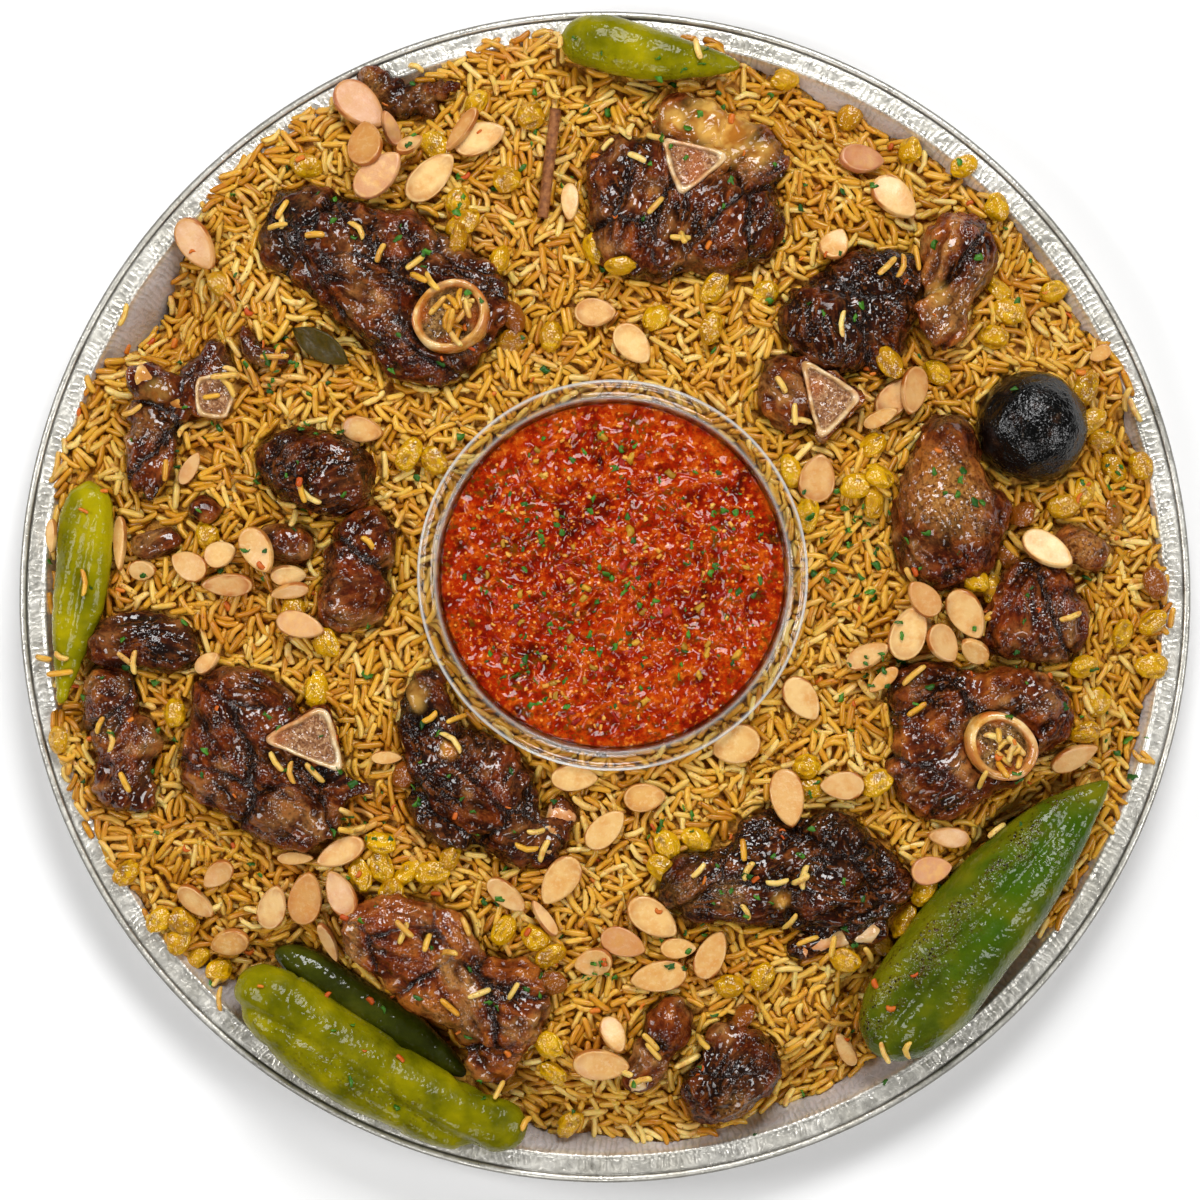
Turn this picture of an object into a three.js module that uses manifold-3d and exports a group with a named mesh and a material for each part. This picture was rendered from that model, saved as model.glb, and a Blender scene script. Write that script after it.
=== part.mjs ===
// Kabsa: spiced rice with lamb, green peppers, almonds and raisins on a round aluminium tray,
// round a clear tub of tomato sauce. Millimetres, +Z up; the origin is the middle of the tray's
// underside. Seen from above, +X is right and +Y is the far side.
import * as THREE from "three";
import { mergeVertices } from "three/addons/utils/BufferGeometryUtils.js";
import Module from "manifold-3d";

const wasm = await Module();
wasm.setup();

// Driving dimensions
const GAP = 0.35; // between pieces that touch
const TRAY = {
  radius: 228.5,
  beadRadius: 225.6,
  bandRadius: 219.4,
  wallTopRadius: 217.4,
  baseRadius: 203.6,
  bandHeight: 20.7,
  beadHeight: 22.4,
  sheet: 0.9,
  segments: 48,
};
const TUB = {
  x: 2.9,
  y: 8.4,
  flangeRadius: 75.6,
  mouthRadius: 67.8,
  footRadius: 56,
  wall: 1,
  height: 50,
  flange: 1.7,
  segments: 36,
};
const SAUCE = { depth: 43.2, lump: 1.3, rings: 5 };
const HEAP = {
  edgeHeight: 23.5,
  rise: 20,
  reach: 222, // radius at which the dome falls to its edge height
  roundness: 2.6,
  edgeSlope: 1.3,
  spacing: 10.4, // between neighbouring bumps
  grain: 1.5, // height of the bumps
  bed: 3, // how far the rice is pressed down under the meat
  bedMargin: 4, // and how far out from it
};
const SEAT = 1; // how far the widest level of a lump lies over the rice
const MEAT_DENT = 0.7; // half the depth of the uneven meat surface
const LIME = { x: 166, y: 66, radius: 21.5, lift: 5 };
const CINNAMON = { x: -21.5, y: 168, length: 43, width: 5, turn: 83 };
const LEAF = { x: -110, y: 97, length: 27, width: 11, sheet: 0.7, turn: -33 };
const ALMOND_THICKNESS = 4.2;
const BUMP = { raisin: 4.5, sliver: 3.2 }; // height over the rice

// How far out the rice reaches: angle from +X in degrees, radius
const RICE_EDGE = [
  [0, 219], [12, 218], [18, 211], [22, 222], [27, 217], [33, 213], [43, 217], [50, 215],
  [60, 211], [68, 211], [75, 217], [80, 221], [87, 214], [97, 220], [102, 223], [108, 219],
  [113, 215], [118, 222], [132, 224], [139, 216], [147, 204], [151, 206], [155, 218], [163, 220],
  [172, 218], [182, 214], [190, 217], [195, 223], [205, 222], [213, 215], [217, 218], [225, 208],
  [232, 204], [255, 205], [266, 210], [275, 215], [282, 217], [287, 211], [295, 213], [302, 204],
  [313, 202], [320, 207], [324, 221], [329, 217], [336, 221], [344, 215], [351, 216],
];

// Meat: the lobes of each piece as [x, y, half length, half width, height over the rice, turn]
const MEATS = {
  meat_shank_left: [
    [-120, 141, 20, 14, 11, 80], [-101, 132, 27, 18, 15, -50], [-78, 120, 31, 26, 17, -50],
    [-67, 98, 21, 18, 15, 20], [-52, 114, 17, 17, 13, 60],
  ],
  meat_top: [
    [14, 139, 20, 17, 14, -20], [48, 145, 21, 20, 16, 30], [10, 162, 17, 17, 13, 0],
    [40, 183, 22, 9, 10, -20], [60, 169, 12, 11, 9, 40], [31, 162, 15, 14, 12, 0],
  ],
  meat_top_edge: [
    [-70, 192, 14, 9, 7, -25], [-88, 198, 13, 7, 7, -55], [-58, 200, 12, 6, 5, 10],
  ],
  meat_upper_right: [
    [85, 104, 19, 15, 16, -40], [104, 119, 22, 15, 14, 10], [106, 97, 10, 11, 8, 0],
  ],
  meat_upper_right_end: [[137, 131, 19, 15, 16, 60], [128, 107, 17, 12, 13, 75]],
  meat_wedge_bone: [[70, 79, 15, 10, 10, 95], [86, 77, 10, 8, 8, -50]],
  meat_diamond: [[132, 52, 20, 12, 15, 88], [132, 27, 24, 21, 18, 90], [146, 33, 12, 9, 11, 20]],
  meat_right: [[170, -4, 22, 15, 15, -60], [158, -12, 14, 12, 12, 0]],
  meat_right_flap: [[185, 19, 14, 8, 7, -25]],
  meat_shank_right: [
    [125, -39, 17, 15, 14, 10], [161, -43, 21, 15, 15, -10], [129, -67, 20, 19, 15, -40],
    [151, -61, 15, 14, 12, 0],
  ],
  meat_rib_bottom: [
    [36, -111, 16, 14, 12, 0], [59, -104, 23, 13, 13, 80], [90, -98, 17, 13, 17, -30],
    [86, -117, 24, 13, 13, 0], [109, -112, 11, 11, 9, 0],
  ],
  meat_rib_small: [[25, -166, 11, 8, 9, 60], [16, -181, 13, 6, 8, 65]],
  meat_bottom: [[50, -186, 21, 14, 14, 35], [47, -171, 9, 7, 8, 20], [34, -199, 11, 5, 5, -25]],
  meat_bottom_left: [
    [-78, -131, 29, 18, 16, -10], [-39, -158, 21, 17, 15, 75], [-65, -152, 21, 13, 13, -25],
    [-45, -180, 14, 11, 10, -30],
  ],
  meat_left: [
    [-138, -42, 23, 13, 16, -20], [-149, -62, 18, 15, 14, 75], [-124, -81, 25, 15, 15, -18],
    [-124, -61, 19, 14, 12, -20], [-96, -76, 11, 5, 6, -5],
  ],
  meat_far_left: [[-184, -17, 18, 10, 10, 15], [-168, -20, 10, 9, 9, 0]],
  meat_lower_left: [[-192, -39, 12, 11, 11, 60], [-186, -56, 14, 12, 10, -20], [-185, -76, 15, 8, 8, -10]],
  meat_rib_left: [
    [-168, 98, 19, 10, 12, 0], [-152, 88, 13, 9, 10, 90], [-172, 72, 15, 11, 9, 30],
    [-176, 50, 23, 10, 12, 72],
  ],
  meat_bits_left: [[-138, 98, 10, 5, 5, -60], [-126, 93, 10, 4, 5, 0]],
  meat_sliver_left: [[-174, 21, 12, 6, 7, 15]],
  meat_sliver_dark: [[-155, 34, 8, 6, 6, -20]],
  meat_block: [[-113, 49, 22, 14, 16, -18], [-104, 47, 13, 13, 14, 0]],
  meat_tub_left: [[-95, 16, 19, 13, 13, 70], [-97, -2, 15, 10, 12, 25]],
  meat_tub_left_end: [[-124, 21, 12, 8, 10, -10]],
  meat_shank_tub: [
    [-51, -71, 28, 18, 15, -35], [-70, -42, 15, 11, 9, 75], [-38, -91, 17, 10, 10, -30],
    [-62, -84, 16, 10, 9, -40],
  ],
};

// Cut bones that show on the meat: [x, y, half length, half width, height over the rice, turn]
const BONES = {
  meat_shank_left: { marrow: [-60, 109, 15, 13, 19, 35] },
  meat_shank_right: { marrow: [154, -58, 14.5, 12, 18, -40] },
  meat_wedge_bone: { wedge: [[76, 93], [100, 77], [83, 60]], height: 9.5 },
  meat_top: { wedge: [[22, 178], [49, 170], [29, 155]], height: 15 },
  meat_left: { wedge: [[-133, -55], [-108, -42], [-101, -68]], height: 13 },
  meat_rib_bottom: { stick: [[74, -136], [105, -129]], width: 9, height: 6 },
  meat_rib_small: { stick: [[12, -189], [22, -172]], width: 7, height: 6 },
  meat_rib_left: { stick: [[-180, 84], [-156, 77]], width: 12, height: 12 },
  meat_shank_tub: { stick: [[-16, -83], [-24, -98]], width: 11, height: 7 },
};

// Peppers: stations along the middle as [x, y, half width], then the height of the middle line
const PEPPERS = {
  pepper_dark: {
    line: [[-128, -138, 4], [-116, -144, 8], [-95, -158, 8.5], [-72, -173, 8], [-54, -187, 4]],
    level: 25,
    groove: 0,
  },
  pepper_bottom_left: {
    line: [
      [-138, -149, 8], [-127, -159, 14.5], [-106, -176, 15.5], [-80, -191, 14.5], [-54, -203, 12],
      [-34, -206, 8],
    ],
    level: 33,
    groove: 0.12,
  },
  pepper_top: {
    line: [[-14, 216, 8], [-4, 216, 11], [12, 212, 11], [30, 208.5, 8.8], [44, 207, 5.6], [53, 206.5, 2]],
    level: 34,
    groove: 0.08,
  },
  pepper_left: {
    line: [
      [-201, 41, 8], [-201.5, 30, 11.3], [-203, 10, 11.4], [-205.5, -8, 9.8], [-209, -24, 6.2],
      [-211.5, -42, 1.8],
    ],
    level: 31,
    groove: 0.2,
  },
  pepper_right: {
    line: [
      [106, -173, 12], [118, -161, 20.5], [135, -139, 21], [151, -119, 20.5], [167, -100, 17],
      [181, -85, 11.5], [196, -71, 2.5],
    ],
    level: 35,
    groove: 0.1,
  },
};
const PEPPER_SIDES = 10;
const PEPPER_FLATNESS = 0.8; // height over width

// Almonds, the largest: [x, y, length, width, turn]
const ALMONDS = [
  [-159, 138, 24, 13, -55], [-96, 191, 25, 15, -45], [-88, 163, 24, 13, 45],
  [-49, 178, 22, 12, 20], [99, 170, 19, 11, 0], [112, 155, 22, 13, -45],
  [-4, 110, 17, 11, 0], [10.5, 98, 19, 12, -50], [-94, 65, 17, 10, -10],
  [-134, 18.6, 20, 12, -60], [-118, -11, 20, 10, -15], [76, -39, 20, 12, -55], [15, -77.5, 17, 11, 5],
  [70.6, -77.6, 24, 13, -80], [82, 45.6, 20, 14, 80], [112, 77, 20, 11, 45], [171, 18, 23, 12, -35],
  [140, -6, 22, 13, -60], [117, -14, 23, 14, 70], [-116, -117, 22, 13, 80], [18, -124, 23, 13, -35],
  [41, -139, 21, 11, 65], [-2, -181, 23, 12, -5],
];

// Raisins and small slivers of almond, which are bumps of the rice: [x, y]
const RAISINS = [
  [-50, 192], [-66, 175], [-29, 187], [-38, 162], [-57, 153], [-55, 143], [-41, 130], [-4, 135],
  [-36, 104], [42, 120], [19.5, 108], [41, 104], [70, 202], [119, 174], [153, 152], [153, 119.5],
  [157, 111], [175, 119], [187, 81], [-76, 55], [-66, 53], [-154, 24], [-108, -18], [-167, -45],
  [-213, -56], [104, 59], [97, 43], [106, 42], [194, 61], [209, 51], [186, 43], [198, 33],
  [214, 5], [201.5, -14], [213.5, -10], [213, -27], [186, -25], [191.5, -41], [105, -72],
  [78, -70], [-187, -108], [-174, -126], [-165, -128], [-159, -140], [-151, -146], [-87, -96],
  [-85, -110], [-67, -107], [-39, -129], [-27, -132], [-21, -150], [-22, -174], [-20, -185],
  [-14, -206], [24, -96], [35, -94], [48, -151], [61, -147], [54, -163], [116, -126], [93, -139],
];
const SLIVERS = [
  [-92, 176], [-69, 163], [-139, 5], [89, 136], [193, 95], [-161, 50], [-179, 11], [-161, 12],
  [-154, -26], [51, -57], [-12, -70], [92, -73], [-102, -100], [-129, -120], [-146, -134], [0, -90],
  [-17, -110], [-38, -115], [7, -134], [28, -136], [21, -146], [3, -170], [133, -93], [126, -106],
  [94, -176],
];

// A repeatable random number from 0 to 1
function makeRandom(seed) {
  let state = seed;
  return () => {
    state = (state * 1664525 + 1013904223) % 4294967296;
    return state / 4294967296;
  };
}

// Smooth uneven relief from -1 to 1 that never repeats in step
function relief(x, y, z, wave) {
  const a = Math.sin(x * wave + 1.7 * Math.sin(y * wave * 0.7) + z * wave * 0.6);
  const b = Math.sin(y * wave * 1.3 + 1.3 * Math.sin(z * wave + x * wave * 0.5));
  return (a + b) / 2;
}

// A closed geometry as a solid; the faces are turned round if they point inwards
function toSolid(geometry) {
  const bare = new THREE.BufferGeometry();
  bare.setAttribute("position", geometry.getAttribute("position"));
  bare.setIndex(geometry.index);
  const merged = mergeVertices(bare, 1e-3);
  const corners = merged.index.array;
  const build = (order) => {
    const kept = [];
    for (let i = 0; i < corners.length; i += 3) {
      const face = order.map((k) => corners[i + k]);
      if (new Set(face).size === 3) kept.push(...face);
    }
    return new wasm.Manifold(
      new wasm.Mesh({
        numProp: 3,
        vertProperties: merged.attributes.position.array,
        triVerts: new Uint32Array(kept),
      }),
    );
  };
  const solid = build([0, 1, 2]);
  return solid.volume() < 0 ? build([0, 2, 1]) : solid;
}

function toGeometry(solid) {
  const mesh = solid.getMesh();
  const positions = [];
  for (let i = 0; i < mesh.numVert; i += 1) {
    positions.push(...mesh.vertProperties.subarray(i * mesh.numProp, i * mesh.numProp + 3));
  }
  const geometry = new THREE.BufferGeometry();
  geometry.setAttribute("position", new THREE.Float32BufferAttribute(positions, 3));
  geometry.setIndex(Array.from(mesh.triVerts));
  geometry.computeVertexNormals();
  return geometry;
}

// The largest body of a solid, without loose scraps
function mainBody(solid) {
  return solid.decompose().reduce((best, body) => (body.volume() > best.volume() ? body : best));
}

// A solid turned round the vertical line through (x, y), from a profile of [radius, height]
function turned(profile, segments, x = 0, y = 0) {
  const points = profile.map(([radius, height]) => new THREE.Vector2(radius, height));
  const geometry = new THREE.LatheGeometry(points, segments);
  geometry.rotateX(Math.PI / 2);
  geometry.translate(x, y, 0);
  return toSolid(geometry);
}

// An upright prism over a plan outline, from one height to another
function prism(outline, low, high) {
  const shape = new THREE.Shape(outline.map(([x, y]) => new THREE.Vector2(x, y)));
  const geometry = new THREE.ExtrudeGeometry(shape, { depth: high - low, bevelEnabled: false });
  geometry.translate(0, 0, low);
  return toSolid(geometry);
}

// Tray: flat base, sloping wall, embossed band and rolled bead
function traySolid() {
  const { radius, beadRadius, bandRadius, wallTopRadius, baseRadius } = TRAY;
  const { bandHeight, beadHeight, sheet, segments } = TRAY;
  return turned(
    [
      [0, 0], [baseRadius + 0.3, 0], [wallTopRadius, bandHeight - sheet - 0.2],
      [beadRadius, bandHeight - sheet], [beadRadius + 1, bandHeight - 2.2],
      [radius, bandHeight - 1], [radius, beadHeight - 0.8], [radius - 1.4, beadHeight],
      [beadRadius, bandHeight], [bandRadius, bandHeight], [bandRadius - 0.9, bandHeight + 0.6],
      [wallTopRadius, bandHeight - 0.1], [baseRadius, sheet], [0, sheet],
    ],
    segments,
  );
}

// The space inside the tray, over its surface
function traySpace() {
  const { radius, beadRadius, bandRadius, wallTopRadius, baseRadius } = TRAY;
  const { bandHeight, beadHeight, sheet, segments } = TRAY;
  const ceiling = 120;
  return turned(
    [
      [0, sheet + GAP], [baseRadius - 0.4, sheet + GAP], [wallTopRadius - 0.4, bandHeight + GAP],
      [bandRadius - 1, bandHeight + 0.7 + GAP], [beadRadius - 0.7, bandHeight + 0.1 + GAP],
      [radius - 1.5, beadHeight + GAP + 0.1], [radius + 1, beadHeight + GAP + 0.1],
      [radius + 1, ceiling], [0, ceiling],
    ],
    segments,
  );
}

// Height of the tray's upper surface at a radius
function trayTop(radius) {
  if (radius < TRAY.baseRadius) return TRAY.sheet;
  const slope = (radius - TRAY.baseRadius) / (TRAY.wallTopRadius - TRAY.baseRadius);
  return TRAY.sheet + (TRAY.bandHeight - TRAY.sheet) * Math.min(slope, 1);
}

const TUB_BASE = TRAY.sheet + GAP;
const TUB_TOP = TUB_BASE + TUB.height;

// Tub: a thin bowl with a flat flange, standing on the tray
function tubSolid() {
  const under = TUB_TOP - TUB.flange;
  const wallFoot = TUB.footRadius - TUB.wall;
  return turned(
    [
      [0, TUB_BASE], [TUB.footRadius, TUB_BASE], [TUB.mouthRadius + TUB.wall, under],
      [TUB.flangeRadius, under - 0.4], [TUB.flangeRadius, TUB_TOP - 0.1],
      [TUB.mouthRadius + 0.8, TUB_TOP - 0.5], [TUB.mouthRadius, TUB_TOP],
      [wallFoot, TUB_BASE + TUB.wall], [0, TUB_BASE + TUB.wall],
    ],
    TUB.segments,
    TUB.x,
    TUB.y,
  );
}

// The space that the tub takes up, with a gap round it
function tubSpace() {
  const under = TUB_TOP - TUB.flange - GAP - 0.4;
  return turned(
    [
      [0, -20], [TUB.footRadius + GAP, -20], [TUB.footRadius + GAP, TUB_BASE],
      [TUB.mouthRadius + TUB.wall + GAP, under], [TUB.flangeRadius + GAP + 0.1, under],
      [TUB.flangeRadius + GAP + 0.1, 120], [0, 120],
    ],
    TUB.segments,
    TUB.x,
    TUB.y,
  );
}

// Sauce: fills the tub, with a lumpy top
function sauceSolid() {
  const floor = TUB_BASE + TUB.wall + GAP;
  const level = TUB_BASE + SAUCE.depth;
  const lean = (TUB.mouthRadius - TUB.footRadius + TUB.wall) / TUB.height;
  const footRadius = TUB.footRadius - TUB.wall - 1.5 * GAP;
  const topRadius = footRadius + lean * (level - floor);
  const profile = [[0, floor], [footRadius, floor]];
  for (let ring = SAUCE.rings; ring >= 1; ring -= 1) {
    profile.push([(topRadius * ring) / SAUCE.rings, level]);
  }
  profile.push([0, level]);
  const points = profile.map(([radius, height]) => new THREE.Vector2(radius, height));
  const geometry = new THREE.LatheGeometry(points, TUB.segments);
  geometry.rotateX(Math.PI / 2);
  const places = geometry.getAttribute("position");
  for (let i = 0; i < places.count; i += 1) {
    const [x, y, z] = [places.getX(i), places.getY(i), places.getZ(i)];
    const inner = 1 - (Math.hypot(x, y) / topRadius) ** 4;
    if (z > level - 0.1) places.setZ(i, level + SAUCE.lump * inner * relief(x, y, 0, 0.28));
  }
  geometry.translate(TUB.x, TUB.y, 0);
  return toSolid(geometry);
}

// Radius that the rice reaches at an angle in degrees
function riceEdge(degrees) {
  const angle = ((degrees % 360) + 360) % 360;
  const next = RICE_EDGE.findIndex(([at]) => at > angle);
  const [toAngle, toRadius] = next < 0 ? [360, RICE_EDGE[0][1]] : RICE_EDGE[next];
  const [fromAngle, fromRadius] = RICE_EDGE[next < 0 ? RICE_EDGE.length - 1 : next - 1];
  return fromRadius + ((toRadius - fromRadius) * (angle - fromAngle)) / (toAngle - fromAngle);
}

// Height of the smooth heap of rice, without its grains
function heapHeight(x, y) {
  const radius = Math.hypot(x, y);
  const dome = HEAP.edgeHeight + HEAP.rise * (1 - (radius / HEAP.reach) ** HEAP.roundness);
  const edge = riceEdge(THREE.MathUtils.radToDeg(Math.atan2(y, x)));
  const shoulder = trayTop(radius) + HEAP.edgeSlope * (edge - radius);
  return Math.min(dome + relief(x, y, 0, 0.035), shoulder);
}

// The first of some places that lies within half a spacing of (x, y)
function placeNear(places, x, y) {
  return places.find(([px, py]) => Math.hypot(px - x, py - y) < HEAP.spacing * 0.52);
}

// Whether a place lies in the bed that a piece of meat presses into the rice
function inBed(x, y) {
  return Object.values(MEATS).flat().some(([lobeX, lobeY, halfLength, halfWidth, , turn]) => {
    const angle = THREE.MathUtils.degToRad(turn);
    const [dx, dy] = [x - lobeX, y - lobeY];
    const along = (dx * Math.cos(angle) + dy * Math.sin(angle)) / (halfLength + HEAP.bedMargin);
    const across = (dy * Math.cos(angle) - dx * Math.sin(angle)) / (halfWidth + HEAP.bedMargin);
    return Math.hypot(along, across) < 1;
  });
}

// The heap as a solid with grain bumps, raisins and slivers, running on under the tray
function heapSolid() {
  const random = makeRandom(11);
  const depth = -12;
  const reach = TRAY.radius + 2;
  const rowStep = HEAP.spacing * Math.sqrt(0.75);
  const rows = Math.ceil(reach / rowStep);
  const columns = Math.ceil(reach / HEAP.spacing) + 1;
  const index = new Map();
  const top = [];
  for (let row = -rows; row <= rows; row += 1) {
    for (let column = -columns; column <= columns; column += 1) {
      const x = (column + (Math.abs(row) % 2) / 2) * HEAP.spacing;
      const y = row * rowStep;
      if (Math.hypot(x, y) > reach) continue;
      const raisin = placeNear(RAISINS, x, y);
      const sliver = placeNear(SLIVERS, x, y);
      const [px, py] = raisin ?? sliver ?? [
        x + (random() - 0.5) * HEAP.spacing * 0.45,
        y + (random() - 0.5) * HEAP.spacing * 0.45,
      ];
      let bump = (random() - 0.5) * 2 * HEAP.grain;
      if (sliver) bump = BUMP.sliver;
      if (raisin) bump = BUMP.raisin;
      if (inBed(px, py)) bump = -HEAP.bed;
      index.set(`${row},${column}`, top.length);
      top.push([px, py, Math.max(heapHeight(px, py) + bump, depth + 1)]);
    }
  }
  const faces = [];
  const addFace = (keys) => {
    const corners = keys.map((key) => index.get(key));
    if (corners.every((corner) => corner !== undefined)) faces.push(corners);
  };
  for (let row = -rows; row < rows; row += 1) {
    const shifted = Math.abs(row) % 2;
    for (let column = -columns; column <= columns; column += 1) {
      const above = shifted ? column + 1 : column;
      addFace([`${row},${column}`, `${row},${column + 1}`, `${row + 1},${above}`]);
      addFace([`${row},${column}`, `${row + 1},${above}`, `${row + 1},${above - 1}`]);
    }
  }
  const used = [...new Set(faces.flat())];
  const renumber = new Map(used.map((old, i) => [old, i]));
  const count = used.length;
  const positions = used.flatMap((old) => top[old]);
  used.forEach((old) => positions.push(top[old][0], top[old][1], depth));
  const corners = [];
  const rim = new Map();
  for (const face of faces) {
    const [a, b, c] = face.map((old) => renumber.get(old));
    corners.push(a, b, c, a + count, c + count, b + count);
    for (const [from, to] of [[a, b], [b, c], [c, a]]) {
      if (!rim.delete(`${to},${from}`)) rim.set(`${from},${to}`, [from, to]);
    }
  }
  for (const [from, to] of rim.values()) {
    corners.push(from, from + count, to + count, from, to + count, to);
  }
  const geometry = new THREE.BufferGeometry();
  geometry.setAttribute("position", new THREE.Float32BufferAttribute(positions, 3));
  geometry.setIndex(corners);
  return toSolid(geometry);
}

// How deep inside a lobe a place lies: 1 on its surface, less inside
function lobeDepth([x, y, halfLength, halfWidth, height, turn], place) {
  const angle = THREE.MathUtils.degToRad(turn);
  const [dx, dy] = [place.x - x, place.y - y];
  const along = (dx * Math.cos(angle) + dy * Math.sin(angle)) / halfLength;
  const across = (dy * Math.cos(angle) - dx * Math.sin(angle)) / halfWidth;
  const up = (place.z - (heapHeight(x, y) + SEAT)) / (height - SEAT);
  return (Math.abs(along) ** 2.4 + Math.abs(across) ** 2.4 + Math.abs(up) ** 2.2) ** (1 / 2.3);
}

// Meat: the lobes melt together, and the surface is reached along rays from the middle
function meatSolid(lobes, grow) {
  const melt = 7;
  const grown = lobes.map(([x, y, a, b, h, turn]) => [x, y, a + grow, b + grow, h + grow, turn]);
  const weight = grown.reduce((sum, lobe) => sum + lobe[2] * lobe[3], 0);
  const middle = new THREE.Vector3();
  const size = new THREE.Vector3(0, 0, 14);
  for (const [x, y, a, b] of grown) {
    middle.add(new THREE.Vector3(x, y, heapHeight(x, y) + SEAT).multiplyScalar((a * b) / weight));
  }
  for (const [x, y, a] of grown) {
    size.x = Math.max(size.x, Math.abs(x - middle.x) + a * 0.9);
    size.y = Math.max(size.y, Math.abs(y - middle.y) + a * 0.9);
  }
  const inside = (place) =>
    grown.reduce((sum, lobe) => sum + Math.exp(-melt * (lobeDepth(lobe, place) - 1)), 0) > 1;
  const detail = weight > 900 ? 3 : weight > 150 ? 2 : 1;
  const geometry = new THREE.IcosahedronGeometry(1, detail);
  const places = geometry.getAttribute("position");
  const ray = new THREE.Vector3();
  const place = new THREE.Vector3();
  for (let i = 0; i < places.count; i += 1) {
    ray.fromBufferAttribute(places, i).multiply(size).normalize();
    let reach = 70;
    while (reach > 1 && !inside(place.copy(middle).addScaledVector(ray, reach))) reach -= 1;
    let low = reach;
    let high = reach + 1;
    for (let step = 0; step < 8; step += 1) {
      const half = (low + high) / 2;
      if (inside(place.copy(middle).addScaledVector(ray, half))) low = half;
      else high = half;
    }
    place.copy(middle).addScaledVector(ray, low);
    const dent = grow > 0 ? 0 : MEAT_DENT * (relief(place.x, place.y, place.z, 0.33) - 1);
    place.addScaledVector(ray, dent);
    places.setXYZ(i, place.x, place.y, place.z);
  }
  return toSolid(geometry);
}

// A cut marrow bone: a short oval ring standing on the meat, hollow at the top
function marrowSolid([x, y, halfLength, halfWidth, height, turn], grow) {
  const wall = 0.72; // inner over outer radius
  const top = heapHeight(x, y) + height + grow;
  const ring = [[0, -16], [0.9, -16], [1, 0], [wall, 0], [wall - 0.06, -5], [0, -5]];
  const profile = grow > 0 ? [...ring.slice(0, 3), [0, 0]] : ring;
  const points = profile.map(([radius, level]) => new THREE.Vector2(radius, level));
  const geometry = new THREE.LatheGeometry(points, 10);
  geometry.rotateX(Math.PI / 2);
  geometry.scale(halfLength + grow, halfWidth + grow, 1);
  geometry.rotateZ(THREE.MathUtils.degToRad(turn));
  geometry.translate(x, y, top);
  return toSolid(geometry);
}

// A stick of bone with rounded ends, lying level between two places
function stickSolid([[x0, y0], [x1, y1]], width, height, grow) {
  const level = heapHeight((x0 + x1) / 2, (y0 + y1) / 2) + height - width / 2;
  const length = Math.hypot(x1 - x0, y1 - y0);
  const geometry = new THREE.CapsuleGeometry(width / 2 + grow, length, 2, 8);
  geometry.rotateZ(Math.PI / 2);
  geometry.rotateZ(Math.atan2(y1 - y0, x1 - x0));
  geometry.translate((x0 + x1) / 2, (y0 + y1) / 2, level);
  return toSolid(geometry);
}

function boneSolid(bone, grow) {
  if (bone.marrow) return marrowSolid(bone.marrow, grow);
  if (bone.stick) return stickSolid(bone.stick, bone.width, bone.height, grow);
  const middle = [0, 1].map((k) => bone.wedge.reduce((sum, corner) => sum + corner[k] / 3, 0));
  const level = heapHeight(...middle);
  const outline = bone.wedge.map(([x, y]) => {
    const reach = 1 + (2 * grow) / Math.hypot(x - middle[0], y - middle[1]);
    return [middle[0] + (x - middle[0]) * reach, middle[1] + (y - middle[1]) * reach];
  });
  return prism(outline, level - 4, level + bone.height + grow);
}

// Pepper: rings of a lobed section along a curved middle line, closed at both ends
function pepperSolid({ line, level, groove }, grow) {
  const curve = new THREE.CatmullRomCurve3(line.map(([x, y]) => new THREE.Vector3(x, y, level)));
  const widths = new THREE.CatmullRomCurve3(line.map(([x, y, w], i) => new THREE.Vector3(i, w, 0)));
  const rings = line.length + 3;
  const positions = [];
  const centre = (at, overshoot) => {
    const tangent = curve.getTangent(at);
    return curve.getPoint(at).addScaledVector(tangent, overshoot);
  };
  for (let ring = 0; ring < rings; ring += 1) {
    const at = ring / (rings - 1);
    const tangent = curve.getTangent(at);
    const side = new THREE.Vector3(-tangent.y, tangent.x, 0).normalize();
    const middle = curve.getPoint(at);
    const width = widths.getPoint(at).y + grow;
    for (let k = 0; k < PEPPER_SIDES; k += 1) {
      const angle = (2 * Math.PI * k) / PEPPER_SIDES;
      const crease = Math.exp(-(((angle - Math.PI / 2) / 0.4) ** 2));
      const swell = 1 - groove * crease * (grow > 0 ? 0 : 1);
      const across = width * swell * Math.cos(angle);
      const up = width * PEPPER_FLATNESS * swell * Math.sin(angle);
      positions.push(middle.x + side.x * across, middle.y + side.y * across, level + up);
    }
  }
  const ends = [0, 1].map((at) => centre(at, (at ? 1 : -1) * (widths.getPoint(at).y * 0.6 + grow)));
  ends.forEach((end) => positions.push(end.x, end.y, level));
  const corners = [];
  const [startTip, endTip] = [rings * PEPPER_SIDES, rings * PEPPER_SIDES + 1];
  for (let k = 0; k < PEPPER_SIDES; k += 1) {
    const next = (k + 1) % PEPPER_SIDES;
    for (let ring = 0; ring < rings - 1; ring += 1) {
      const here = ring * PEPPER_SIDES;
      const there = here + PEPPER_SIDES;
      corners.push(here + k, here + next, there + next, here + k, there + next, there + k);
    }
    const last = (rings - 1) * PEPPER_SIDES;
    corners.push(startTip, next, k, endTip, last + k, last + next);
  }
  const geometry = new THREE.BufferGeometry();
  geometry.setAttribute("position", new THREE.Float32BufferAttribute(positions, 3));
  geometry.setIndex(corners);
  return toSolid(geometry);
}

function limeSolid(grow) {
  const geometry = new THREE.IcosahedronGeometry(LIME.radius + grow, 2);
  geometry.scale(1, 1, 0.93);
  geometry.translate(LIME.x, LIME.y, heapHeight(LIME.x, LIME.y) + LIME.lift);
  return toSolid(geometry);
}

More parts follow.
